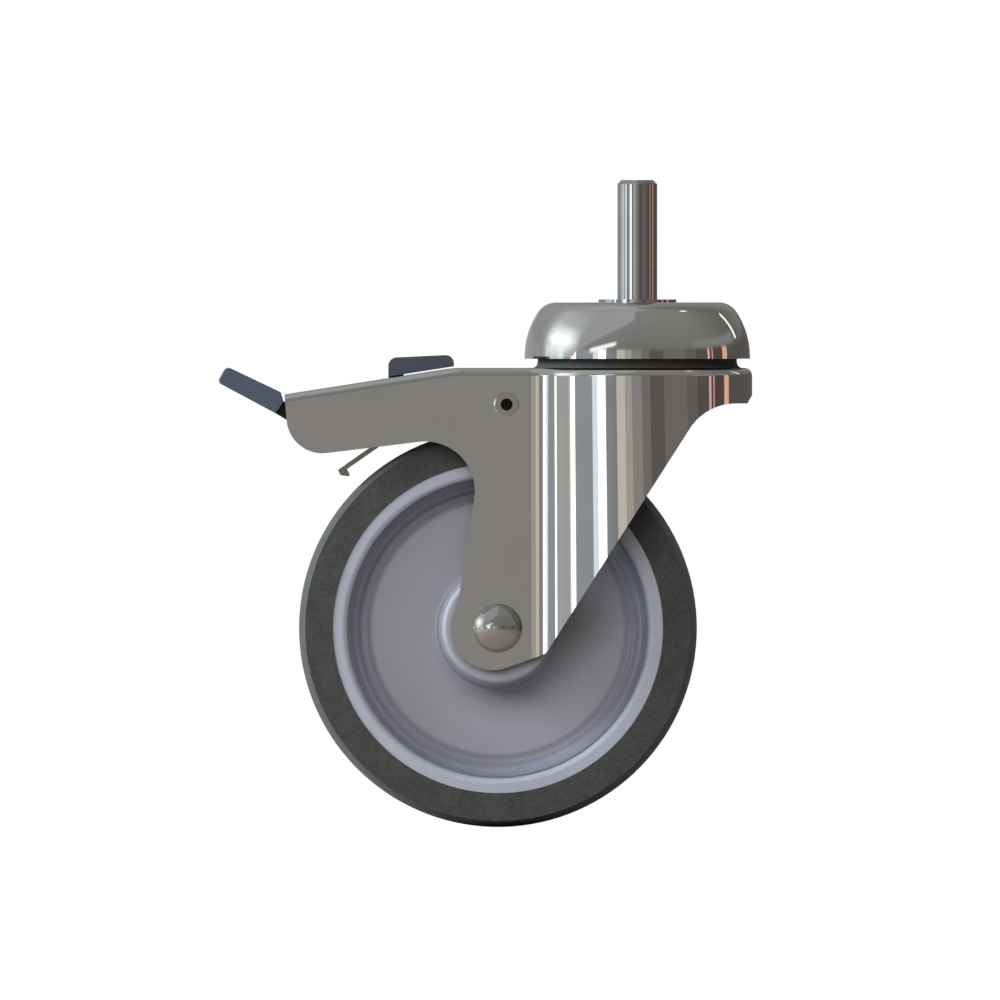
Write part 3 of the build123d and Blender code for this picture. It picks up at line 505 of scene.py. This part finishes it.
@dataclass(frozen=True)
class TurnedSteel:
    """Steel turned and polished on a lathe, with fine rings about its axis.

    A piece with a blind bore has its radius as bore and its head's radius as rim;
    inside the bore the colour is near black, painted shade for the dark of the hole.
    """

    name: str
    about: Turning
    centre: Point
    colour: Colour
    roughness: float
    ring_relief: Relief = Relief(2e-7, 0.5)
    bore: float = 0.0
    bore_edge: float = 1.05
    bore_painted_shade: Colour = (0.02, 0.02, 0.019)
    rim: float = 0.0
    rim_width: float = 0.0004
    rim_relief: Relief = Relief(1.4e-4, 1.0)
    ring_pattern: Mottle = Mottle(6500.0, 2.0, 0.65)
    band_pattern: Mottle = Mottle(620.0, 2.0, 0.5)
    cloud_pattern: Mottle = Mottle(90.0, 3.0, 0.5)

    def material(self) -> bpy.types.Material:
        """The finish as a material, with painted shade inside its bore and a bump that rounds its
        rim.

        Returns:
            The material.
        """
        shader = ShaderTree(self.name)
        place = shader.turned_place(self.about, self.centre)
        rings = shader.noise(place, self.ring_pattern)
        bands = shader.noise(place, self.band_pattern)
        clouds = shader.noise(shader.place(), self.cloud_pattern)
        colour = shader.shades(clouds, self.colour, (1.0, 0.93))
        relief = shader.bump(rings, self.ring_relief)
        if self.bore:
            # Painted shade: near black inside the bore, fading out at its edge.
            radius = shader.parts(place).outputs["X"]
            inside = shader.between(radius, 1.0, 0.0, self.bore, self.bore * self.bore_edge)
            colour = shader.blend(inside, colour, self.bore_painted_shade)
            edge = shader.between(radius, 1.0, 0.0, self.rim - self.rim_width, self.rim)
            relief = shader.bump(edge, self.rim_relief, relief)
        shader.set(
            Base_Color=colour,
            Metallic=1.0,
            Roughness=shader.gloss(self.roughness, rings, (0.95, 1.08), bands, 0.1),
            Normal=relief,
        )
        return shader.material


@dataclass(frozen=True)
class PlatedSteel:
    """Zinc plated or bare pressed steel, slightly cloudy and ground along one axis."""

    name: str
    colour: Colour
    roughness: float
    grain: Grain = Grain.NONE
    scratches: Relief = Relief(4e-6, 0.6)
    line_pattern: Mottle = Mottle(3600.0, 3.0, 0.6)
    bloom_pattern: Mottle = Mottle(180.0, 4.0, 0.6)

    def material(self) -> bpy.types.Material:
        """The finish as a material.

        Returns:
            The material.
        """
        shader = ShaderTree(self.name)
        lines = shader.noise(shader.place(scale=self.grain.value), self.line_pattern)
        bloom = shader.noise(shader.place(), self.bloom_pattern)
        shader.set(
            Base_Color=shader.shades(bloom, self.colour, (1.06, 0.86)),
            Metallic=1.0,
            Roughness=shader.gloss(self.roughness, lines, (0.8, 1.2), bloom, 0.3),
            Normal=shader.bump(lines, self.scratches),
        )
        return shader.material


@dataclass(frozen=True)
class MouldedPlastic:
    """Injection-moulded plastic with fine spark-erosion grain and faint flow clouds."""

    name: str
    colour: Colour
    roughness: float
    grain_relief: Relief = Relief(6e-6, 0.6)
    grain_pattern: Mottle = Mottle(3400.0, 3.0, 0.6)
    flow_pattern: Mottle = Mottle(55.0, 4.0, 0.55)
    flow_stretch: Point = (1.0, 1.6, 0.7)
    scuff_pattern: Mottle = Mottle(900.0, 2.0, 0.7)
    scuff_stretch: Point = (1.0, 1.0, 0.2)
    scuff_share: float = 0.18
    refraction: float = 1.5

    def material(self) -> bpy.types.Material:
        """The finish as a material.

        Returns:
            The material.
        """
        shader = ShaderTree(self.name)
        grain = shader.noise(shader.place(), self.grain_pattern)
        flow = shader.noise(shader.place(scale=self.flow_stretch), self.flow_pattern)
        scuffs = shader.noise(shader.place(scale=self.scuff_stretch), self.scuff_pattern)
        shader.set(
            Base_Color=shader.shades(flow, self.colour, (1.05, 0.93)),
            Roughness=shader.maths(
                Sum.ADD,
                shader.between(grain, self.roughness * 0.85, self.roughness * 1.1),
                shader.between(scuffs, 0.0, self.roughness * self.scuff_share, 0.5, 0.8),
            ),
            IOR=self.refraction,
            Normal=shader.bump(grain, self.grain_relief),
        )
        return shader.material


@dataclass(frozen=True)
class WheelPlastic:
    """Glossy moulded plastic of the wheel centre, with cutter rings about the axle.

    Its bands are (radius in metres, tint) pairs from the hub out to the rim. They are
    painted light and shade: darker in the dish and on its wall for the shade in the recess,
    lighter on the hub's slope and the rim ring, and thin light and dark rings at the
    grooves and the rim's inner edge as painted highlights and shadows.
    """

    name: str
    centre: Point
    colour: Colour = (0.41, 0.425, 0.505)
    roughness: float = 0.1
    bands: tuple[Stop, ...] = (
        (0.0, (0.7, 0.67, 0.66)),
        (0.0166, (0.72, 0.7, 0.69)),
        (0.0175, (0.76, 0.74, 0.73)),
        (0.0202, (0.76, 0.74, 0.73)),
        (0.0206, (0.72, 0.69, 0.66)),
        (0.0398, (0.71, 0.67, 0.64)),
        (0.0406, (0.5, 0.48, 0.48)),
        (0.0415, (0.43, 0.41, 0.41)),
        (0.0426, (0.55, 0.53, 0.53)),
        (0.0436, (0.49, 0.47, 0.47)),
        (0.0446, (0.57, 0.57, 0.59)),
        (0.0458, (0.52, 0.52, 0.55)),
        (0.0473, (0.4, 0.39, 0.4)),
        (0.0476, (0.3, 0.29, 0.3)),
        (0.0481, (0.78, 0.78, 0.78)),
        (0.0495, (0.87, 0.87, 0.87)),
    )
    reach: float = 0.06
    refraction: float = 1.52
    haze: float = 0.04
    haze_depth: float = 0.002
    ring_pattern: Mottle = Mottle(1500.0, 2.0, 0.6)
    grain_pattern: Mottle = Mottle(4200.0, 2.0, 0.6)
    flow_pattern: Mottle = Mottle(34.0, 4.0, 0.6)
    ring_relief: Relief = Relief(3e-7, 0.5)
    grain_relief: Relief = Relief(8e-7, 0.35)

    def material(self) -> bpy.types.Material:
        """The finish as a material, with painted light and shade set by the distance from the
        axle.

        Returns:
            The material.
        """
        shader = ShaderTree(self.name)
        place = shader.turned_place(Turning.AXLE, self.centre)
        share = shader.maths(Sum.DIVIDE, shader.parts(place).outputs["X"], self.reach)
        # Painted light and shade by radius: darker dish and wall, painted highlight and shadow
        # rings.
        painted_light_and_shade = shader.ramp(share, [(at / self.reach, colour) for at, colour in self.bands])
        rings = shader.noise(place, self.ring_pattern)
        grain = shader.noise(shader.place(), self.grain_pattern)
        flow = shader.noise(shader.place(), self.flow_pattern)
        shader.set(
            Base_Color=shader.multiply(painted_light_and_shade, shader.shades(flow, self.colour, (1.03, 0.95))),
            Roughness=shader.gloss(self.roughness, rings, (0.9, 1.1), grain, 0.15),
            IOR=self.refraction,
            Subsurface_Weight=self.haze,
            Subsurface_Scale=self.haze_depth,
            Normal=shader.bump(
                rings, self.ring_relief, shader.bump(grain, self.grain_relief)
            ),
        )
        return shader.material


@dataclass(frozen=True)
class Rubber:
    """Moulded rubber with pebbled grain, tiny pits and a dry bloom."""

    name: str
    colour: Colour
    bloom: Colour
    roughness: float = 0.62
    pebble_scale: float = 2100.0
    pebble_relief: Relief = Relief(3e-5, 0.5)
    pit_shade: Colour = (0.72, 0.72, 0.72)
    grain_finer: float = 2.2
    speckle_finer: float = 0.9
    bloom_pattern: Mottle = Mottle(120.0, 5.0, 0.65)
    bloom_share: float = 0.55
    refraction: float = 1.5
    shine: float = 0.34
    sheen: float = 0.06

    def material(self) -> bpy.types.Material:
        """The finish as a material.

        Returns:
            The material.
        """
        shader = ShaderTree(self.name)
        fine = Mottle(self.pebble_scale * self.grain_finer, 3.0, 0.7)
        coarse = Mottle(self.pebble_scale * self.speckle_finer, 2.0, 0.7)
        grain_relief = Relief(self.pebble_relief.depth / 2, self.pebble_relief.strength)
        pebbles = shader.pits(shader.place(), self.pebble_scale)
        grain = shader.noise(shader.place(), fine)
        dust = shader.noise(shader.place(), self.bloom_pattern)
        speckle = shader.noise(shader.place(), coarse)
        dusty = shader.between(dust, 0.0, self.bloom_share, 0.4, 0.75)
        shader.set(
            Base_Color=shader.multiply(
                shader.blend(dusty, self.colour, self.bloom),
                shader.ramp(speckle, [(0.3, self.pit_shade), (0.65, WHITE)]),
            ),
            Roughness=shader.between(grain, self.roughness * 0.85, self.roughness * 1.15),
            IOR=self.refraction,
            Specular_IOR_Level=self.shine,
            Sheen_Weight=self.sheen,
            Sheen_Roughness=0.5,
            Normal=shader.bump(
                pebbles, self.pebble_relief, shader.bump(grain, grain_relief)
            ),
        )
        return shader.material


@dataclass
class Assembly:
    """A group of pieces on one CAD body, with the finish of each named node."""

    nodes: dict[str, bpy.types.Object]
    body: ClassVar[str] = ""

    def finishes(self) -> dict[str, Finish]:
        """The finish of each node that the assembly dresses."""
        return {}

    def dress(self) -> list[str]:
        """Put the finishes on the nodes.

        Returns:
            The names of the pieces that were dressed.
        """
        made: dict[Finish, bpy.types.Material] = {}
        chosen = self.finishes()
        for name, finish in chosen.items():
            if finish not in made:
                made[finish] = finish.material()
            mesh = self.nodes[name].data
            mesh.materials.clear()
            mesh.materials.append(made[finish])
        return list(chosen)


@dataclass
class Head(Assembly):
    """Stem, cap and the fixed rings of the swivel bearing."""

    body: ClassVar[str] = "head"
    stem_line: Point = (0.0, 0.0, 0.0)

    def finishes(self) -> dict[str, Finish]:
        """The finish of each node of the head.

        Returns:
            Finishes by node name.
        """
        ring = PlatedSteel("pressed_ring", (0.5, 0.5, 0.49), 0.34)
        nut = PlatedSteel("plated_nut", (0.66, 0.655, 0.64), 0.24)
        stem = TurnedSteel(
            "turned_stem",
            Turning.STEM,
            self.stem_line,
            (0.5, 0.51, 0.51),
            0.07,
            ring_relief=Relief(3e-8, 0.5),
        )
        return {
            "stem": stem,
            "head_cover": PolishedSheet("polished_cap", grain=Grain.NONE),
            "upper_race": ring,
            "lock_ring": ring,
            "lower_race": ring,
            "kingpin_washer": nut,
            "kingpin_nut": nut,
        }


@dataclass
class Fork(Assembly):
    """Folded fork, its seal, axle and fixed pins."""

    body: ClassVar[str] = "fork"
    axle: Point = AXLE
    pivot: Point = (-0.0417, 0.0, -0.03353)
    rivet_bore: float = 0.00188
    rivet_rim: float = 0.00407

    def finishes(self) -> dict[str, Finish]:
        """The finish of each node of the fork.

        Returns:
            Finishes by node name.
        """
        ring = PlatedSteel("pressed_track", (0.5, 0.5, 0.49), 0.32)
        plated = PlatedSteel("plated_axle", (0.66, 0.655, 0.64), 0.22)
        balls = PlatedSteel(
            "bearing_ball", (0.7, 0.7, 0.71), 0.07, scratches=Relief(5e-7, 0.6)
        )
        bracket = PlatedSteel("pressed_bracket", (0.52, 0.52, 0.5), 0.3, Grain.ALONG_X)
        bearing = TurnedSteel(
            "ground_bearing", Turning.AXLE, self.axle, (0.6, 0.6, 0.61), 0.16
        )
        bolt = TurnedSteel("turned_bolt", Turning.AXLE, self.axle, (0.54, 0.54, 0.53), 0.12)
        rivet = TurnedSteel(
            "turned_rivet",
            Turning.AXLE,
            self.pivot,
            (0.58, 0.58, 0.57),
            0.14,
            bore=self.rivet_bore,
            rim=self.rivet_rim,
        )
        return {
            "fork": PolishedSheet("polished_fork"),
            "dust_seal": Rubber("seal_rubber", (0.055, 0.055, 0.053), (0.085, 0.085, 0.083)),
            "fork_race_upper": ring,
            "fork_race_lower": ring,
            "upper_balls": balls,
            "lower_balls": balls,
            "axle_bolt": bolt,
            "axle_nut": plated,
            "axle_sleeve": plated,
            "axle_washers": plated,
            "bearing_spacer": plated,
            "bearing_inner_rings": bearing,
            "pivot_pin": rivet,
            "pedal_bracket": bracket,
            "pedal_pin": plated,
        }


@dataclass
class Wheel(Assembly):
    """Moulded centre, rubber tread and the turning half of the bearings."""

    body: ClassVar[str] = "wheel"
    axle: Point = AXLE

    def finishes(self) -> dict[str, Finish]:
        """The finish of each node of the wheel.

        Returns:
            Finishes by node name.
        """
        bearing = TurnedSteel("ground_ring", Turning.AXLE, self.axle, (0.6, 0.6, 0.61), 0.16)
        tread = Rubber(
            "tread_rubber",
            (0.054, 0.056, 0.053),
            (0.083, 0.085, 0.081),
            pebble_scale=1500.0,
            pebble_relief=Relief(1.6e-4, 0.5),
            pit_shade=(0.62, 0.62, 0.63),
        )
        return {
            "wheel_centre": WheelPlastic("wheel_plastic", self.axle),
            "tyre": tread,
            "bearing_outer_rings": bearing,
            "bearing_balls": bearing,
            "bearing_shields": PlatedSteel("bearing_shield", (0.6, 0.6, 0.59), 0.28),
        }


@dataclass
class Pedal(Assembly):
    """Rocking lever with its two pads."""

    body: ClassVar[str] = "pedal"
    pad_roughness: float = 0.42
    pad_relief: Relief = Relief(2.5e-6, 0.6)

    def finishes(self) -> dict[str, Finish]:
        """The finish of each node of the pedal.

        Returns:
            Finishes by node name.
        """
        rear, release = (
            MouldedPlastic(name, colour, self.pad_roughness, self.pad_relief)
            for name, colour in (
                ("rear_pad_plastic", (0.056, 0.071, 0.098)),
                # The release pad has the rear pad's plastic made darker: painted shade, as it
                # sits in shadow.
                ("release_pad_shaded_plastic", (0.046, 0.053, 0.07)),
            )
        )
        return {
            # The lever's near-black colour is painted shade: its neck shows only in shadow where
            # it runs into the arm.
            "pedal_lever": MouldedPlastic("lever_plastic", (0.012, 0.012, 0.013), 0.5),
            "rear_pad": rear,
            "release_pad": release,
        }


@dataclass
class Brake(Assembly):
    """Folded brake plate, its bush and the return spring."""

    body: ClassVar[str] = "brake"
    roof_leg_y: float = 0.0176
    hook_leg_y: float = 0.0122

    def finishes(self) -> dict[str, Finish]:
        """The finish of each node of the brake.

        Returns:
            Finishes by node name.
        """
        return {
            "brake_plate": PlatedSteel("brake_sheet", (0.36, 0.36, 0.335), 0.2, Grain.ALONG_Y),
            "brake_bush": PlatedSteel("bush_steel", (0.5, 0.5, 0.49), 0.3),
            "return_spring": PlatedSteel("spring_wire", (0.4, 0.4, 0.41), 0.26),
        }

    def dress(self) -> list[str]:
        """Put the finishes on the nodes and copy the spring into a wire object of its own.

        Returns:
            The names of the pieces that were dressed, with the wire.
        """
        dressed = super().dress()
        return [*dressed, self.wind_spring().name]

    def wind_spring(self) -> bpy.types.Object:
        """Copy the return spring into a wire object of its own and hide the solid.

        Returns:
            The wire, with one leg on the fork's roof and the other on the brake plate.
        """
        solid = self.nodes["return_spring"]
        wire = bpy.data.objects.new("return_spring_wire", solid.data.copy())
        bpy.context.scene.collection.objects.link(wire)
        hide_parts("return_spring")
        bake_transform(wire)
        return wire


@dataclass(frozen=True)
class Strip:
    """An upright light strip round the studio, by its turn from straight ahead."""

    start: float
    end: float
    colour: Colour


@dataclass(frozen=True)
class Window:
    """A soft patch of light in the studio, by its turn and its height in degrees.

    Where it leans, its height rises by that share of the turn.
    """

    turn: Spread
    rise: Spread
    colour: Colour
    soft: float
    lean: float = 0.0


@dataclass
class StudioLight(NodeBench):
    """Light from all round: upright strips low down, calm grey above, a few windows.

    The strips and windows are what polished steel mirrors. Dull surfaces get an even
    wash instead, given across from left to right and up from below. Both it and the
    calm grey are (place, colour) stops with places from 0 to 1.
    """

    name: str = "studio"
    strips: tuple[Strip, ...] = (
        Strip(-180.0, -110.0, (0.42, 0.44, 0.43)),
        Strip(-110.0, -90.0, (0.8, 0.86, 0.88)),
        Strip(-90.0, -82.0, (0.92, 1.15, 1.22)),
        Strip(-82.0, -79.5, (0.76, 0.98, 1.05)),
        Strip(-79.5, -76.5, (0.46, 0.57, 0.62)),
        Strip(-76.5, -73.0, (0.92, 1.02, 0.92)),
        Strip(-73.0, -67.3, (2.4, 2.4, 2.1)),
        Strip(-67.3, -46.6, (0.403, 0.43, 0.48)),
        Strip(-46.6, -41.0, (1.05, 1.19, 1.28)),
        Strip(-41.0, -33.4, (2.2, 2.35, 2.45)),
        Strip(-33.4, -24.0, (0.33, 0.34, 0.355)),
        Strip(-24.0, -21.2, (0.355, 0.3, 0.285)),
        Strip(-21.2, -13.4, (0.775, 0.73, 0.65)),
        Strip(-13.4, -6.5, (0.52, 0.49, 0.445)),
        Strip(-6.5, 3.0, (0.35, 0.335, 0.322)),
        Strip(3.0, 12.0, (0.25, 0.225, 0.215)),
        Strip(12.0, 26.5, (0.15, 0.14, 0.132)),
        Strip(26.5, 50.0, (0.228, 0.203, 0.185)),
        Strip(50.0, 62.0, (0.185, 0.16, 0.15)),
        Strip(62.0, 76.5, (0.135, 0.115, 0.11)),
        Strip(76.5, 79.5, (1.07, 0.62, 0.6)),
        Strip(81.7, 83.8, (1.12, 0.58, 0.55)),
        Strip(97.6, 105.4, (1.1, 0.6, 0.435)),
        Strip(105.4, 179.5, (0.13, 0.12, 0.11)),
    )
    strip_height: Spread = (0.12, 0.2)
    shared_edge: float = 0.2
    dark: Colour = (0.122, 0.085, 0.08)
    windows: tuple[Window, ...] = (
        Window((-82.0, -4.0), (58.0, 120.0), (0.46, 0.48, 0.465), 0.025, 0.8),
        Window((-118.0, -70.0), (16.0, 48.0), (0.66, 0.7, 0.69), 0.16),
        Window((-108.0, -72.0), (8.0, 26.0), (1.9, 2.0, 2.05), 0.15),
        Window((-50.0, -23.0), (24.0, 29.5), (1.5, 1.55, 1.5), 0.03, 0.385),
        Window((60.0, 122.0), (11.0, 19.0), (0.3, 0.305, 0.31), 0.035),
        Window((126.0, 129.5), (12.0, 31.0), (1.8, 1.8, 1.75), 0.01),
        Window((84.0, 98.0), (57.0, 61.0), (1.4, 1.4, 1.35), 0.01),
        Window((-25.0, 25.0), (76.0, 84.0), (0.46, 0.475, 0.465), 0.05),
    )
    calm_around: tuple[Stop, ...] = (
        (0.0, (0.3, 0.3, 0.295)),
        (0.1, (0.39, 0.4, 0.39)),
        (0.2, (0.4, 0.41, 0.4)),
        (0.42, (0.3, 0.305, 0.3)),
        (0.5, (0.26, 0.26, 0.256)),
        (0.7, (0.26, 0.255, 0.245)),
        (0.85, (0.17, 0.165, 0.155)),
        (1.0, (0.3, 0.3, 0.295)),
    )
    calm_up: tuple[Stop, ...] = (
        (0.0, grey(1.0)),
        (0.45, grey(0.8)),
        (0.6, grey(1.0)),
        (0.8, grey(1.2)),
        (1.0, grey(1.35)),
    )
    wash_across: tuple[Stop, ...] = (
        (0.0, (0.68, 0.74, 0.75)),
        (0.3, (0.25, 0.265, 0.27)),
        (0.55, (0.15, 0.14, 0.138)),
        (1.0, (0.1, 0.08, 0.075)),
    )
    wash_up: tuple[Stop, ...] = (
        (0.0, grey(0.2)),
        (0.45, grey(0.4)),
        (0.55, grey(0.9)),
        (0.8, grey(1.7)),
        (1.0, grey(2.1)),
    )

    def strip_stops(self) -> list[Stop]:
        """Places round the studio where the strips' light changes.

        Returns:
            (share of a full turn, colour from there on) pairs in rising order.
        """
        found: list[Stop] = []
        for strip in self.strips:
            if found and abs(found[-1][0] - strip.start) < self.shared_edge:
                found.pop()
            found.append((strip.start, strip.colour))
            found.append((strip.end, self.dark))
        return [((turn + 180.0) / 360.0, colour) for turn, colour in found]

    def inside(self, value: Socket, limits: Spread, soft: float) -> Socket:
        """How far a value is inside two limits, with soft edges.

        Args:
            value: Socket to test.
            limits: Low and high limit.
            soft: Width of each edge.

        Returns:
            Socket that is 1 inside and 0 outside.
        """
        low, high = limits
        above = self.between(value, 0.0, 1.0, low - soft, low + soft)
        below = self.between(value, 1.0, 0.0, high - soft, high + soft)
        return self.maths(Sum.MULTIPLY, above, below)

    def height_share(self, rise: Socket) -> Socket:
        """A direction's height as a share of the way from straight down to straight up."""
        return self.between(rise, 0.0, 1.0, -math.pi / 2, math.pi / 2)

    def soft_wash(self, sideways: Socket, rise: Socket) -> Socket:
        """Even light for dull surfaces, stronger from above and from the left.

        Args:
            sideways: Socket with the direction's part to the right.
            rise: Socket with the height of the direction, in radians.

        Returns:
            The light's colour socket.
        """
        across = self.ramp(self.between(sideways, 0.0, 1.0, -1.0, 1.0), self.wash_across)
        return self.multiply(across, self.ramp(self.height_share(rise), self.wash_up))

    def room(self, turn: Socket, rise: Socket) -> Socket:
        """Strips near the horizon and calm grey away from it.

        Args:
            turn: Socket with the direction's turn, in radians.
            rise: Socket with its height, in radians.

        Returns:
            The light's colour socket.
        """
        share = self.maths(Sum.ADD, self.maths(Sum.DIVIDE, turn, 2 * math.pi), 0.5)
        low = self.ramp(share, self.strip_stops(), Passing.STEPPED)
        around = self.ramp(share, self.calm_around)
        above = self.ramp(self.height_share(rise), self.calm_up)
        steep = self.between(self.maths(Sum.ABSOLUTE, rise), 0.0, 1.0, *self.strip_height)
        return self.blend(steep, low, self.multiply(around, above))

    def hang_window(self, light: Socket, window: Window, turn: Socket, rise: Socket) -> Socket:
        """Put one soft patch of light over the rest.

        Args:
            light: Socket with the light so far.
            window: The patch.
            turn: Socket with the direction's turn, in radians.
            rise: Socket with its height, in radians.

        Returns:
            The light's colour socket.
        """
        sides = (math.radians(window.turn[0]), math.radians(window.turn[1]))
        edges = (math.radians(window.rise[0]), math.radians(window.rise[1]))
        height = self.maths(Sum.SUBTRACT, rise, self.maths(Sum.MULTIPLY, turn, window.lean))
        mask = self.maths(
            Sum.MULTIPLY,
            self.inside(turn, sides, window.soft),
            self.inside(height, edges, window.soft),
        )
        return self.blend(mask, light, window.colour)

    def build(self) -> None:
        """Make the studio's light and give it to the scene."""
        world = bpy.data.worlds.new(self.name)
        bpy.context.scene.world = world
        world.use_nodes = True
        self.tree = world.node_tree
        self.tree.nodes.clear()
        where = self.node("ShaderNodeTexCoord")
        split = self.parts(where.outputs["Generated"])
        ahead = self.maths(Sum.MULTIPLY, split.outputs["Y"], -1.0)
        turn = self.maths(Sum.ARCTANGENT, split.outputs["X"], ahead)
        rise = self.maths(Sum.ARCSINE, split.outputs["Z"])
        light = self.room(turn, rise)
        for window in self.windows:
            light = self.hang_window(light, window, turn, rise)
        path = self.node("ShaderNodeLightPath")
        wash = self.soft_wash(split.outputs["X"], rise)
        lit = self.blend(path.outputs["Is Diffuse Ray"], light, wash)
        seen = self.blend(path.outputs["Is Camera Ray"], lit, WHITE)
        background = self.node("ShaderNodeBackground")
        self.join(seen, background.inputs["Color"])
        output = self.node("ShaderNodeOutputWorld")
        self.join(background.outputs[0], output.inputs[0])


@dataclass(frozen=True)
class Floor:
    """Pale floor just under the wheel, which throws back less light than it shows."""

    name: str = "studio_floor"
    size: float = 6.0
    drop: float = 0.0004
    colours: tuple[Colour, Colour] = ((0.62, 0.615, 0.6), (0.59, 0.585, 0.575))
    thrown_back: Colour = (0.25, 0.215, 0.185)
    roughness: float = 0.75
    cloud_pattern: Mottle = Mottle(6.0, 4.0, 0.5)

    def material(self) -> bpy.types.Material:
        """The floor's finish, faintly clouded.

        Returns:
            The material.
        """
        shader = ShaderTree("pale_floor")
        clouds = shader.noise(shader.place(), self.cloud_pattern)
        path = shader.node("ShaderNodeLightPath")
        bounced = shader.maths(
            Sum.MAXIMUM, path.outputs["Is Glossy Ray"], path.outputs["Is Diffuse Ray"]
        )
        pale = shader.blend(shader.between(clouds, 0.0, 1.0), *self.colours)
        shader.set(
            Base_Color=shader.blend(bounced, pale, self.thrown_back),
            Roughness=self.roughness,
        )
        return shader.material

    def build(self) -> None:
        """Lay the floor."""
        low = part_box("tyre")[0].z - self.drop
        half = self.size / 2
        corners = [(-half, -half, low), (half, -half, low), (half, half, low), (-half, half, low)]
        mesh = bpy.data.meshes.new(self.name)
        mesh.from_pydata(corners, [], [(0, 1, 2, 3)])
        mesh.materials.append(self.material())
        floor = bpy.data.objects.new(self.name, mesh)
        bpy.context.scene.collection.objects.link(floor)


@dataclass(frozen=True)
class Lamp:
    """A soft lamp that looks at the castor; polished steel doesn't mirror it.

    Its place and its size, width and height, are in metres and its power is in watts.
    """

    name: str
    place: Point
    size: Spread
    power: float
    colour: Colour = WHITE
    target: Point = (-0.04, 0.0, -0.08)

    def build(self) -> None:
        """Hang the lamp."""
        data = bpy.data.lights.new(self.name, "AREA")
        data.color = self.colour
        data.shape = "RECTANGLE"
        data.size, data.size_y = self.size
        data.energy = self.power
        lamp = bpy.data.objects.new(self.name, data)
        lamp.location = self.place
        aim = Vector(self.target) - lamp.location
        lamp.rotation_euler = aim.to_track_quat("-Z", "Y").to_euler()
        lamp.visible_glossy = False
        lamp.visible_camera = False
        bpy.context.scene.collection.objects.link(lamp)


@dataclass(frozen=True)
class Studio:
    """Plain pale floor, light from all round and the lamps that shape the dull pieces."""

    lamps: tuple[Lamp, ...] = (
        Lamp("front_lamp", (-0.3, -1.45, 0.6), (1.1, 0.9), 17.0),
        Lamp("side_lamp", (-1.0, -0.1, 0.35), (0.7, 0.5), 24.0, (0.82, 0.94, 1.0)),
        Lamp("rear_lamp", (0.2, 1.2, 0.9), (1.2, 1.0), 8.0),
    )

    def build(self) -> None:
        """Build the light from all round, the floor and the lamps."""
        StudioLight().build()
        Floor().build()
        for lamp in self.lamps:
            lamp.build()


@dataclass(frozen=True)
class PhotoCamera:
    """Level camera straight onto the castor's near side, without perspective."""

    name: str = "photo_camera"
    scale: float = 0.3191
    centre: Point = (-0.0438, -1.2, -0.06401)
    tilt: float = 90.0
    reach: Spread = (0.01, 10.0)

    def build(self) -> None:
        """Create the camera and make it the scene's own."""
        data = bpy.data.cameras.new(self.name)
        data.type = "ORTHO"
        data.ortho_scale = self.scale
        data.clip_start, data.clip_end = self.reach
        camera = bpy.data.objects.new(self.name, data)
        camera.location = self.centre
        camera.rotation_euler = (math.radians(self.tilt), 0.0, 0.0)
        bpy.context.scene.collection.objects.link(camera)
        bpy.context.scene.camera = camera


def main() -> None:
    """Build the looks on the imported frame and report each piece."""
    logging.basicConfig(level=logging.INFO, format="%(name)s: %(message)s")
    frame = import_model()
    scene = bpy.context.scene
    scene.view_settings.view_transform = "Standard"
    scene.view_settings.look = "None"
    for kind in (Head, Fork, Wheel, Pedal, Brake):
        part = kind(frame["nodes"])
        for piece in part.dress():
            LOG.info("%s: %s dressed", part.body, piece)
    Studio().build()
    LOG.info("studio: floor, light and lamps built")
    PhotoCamera().build()
    LOG.info("camera: placed")


if __name__ == "__main__":
    main()
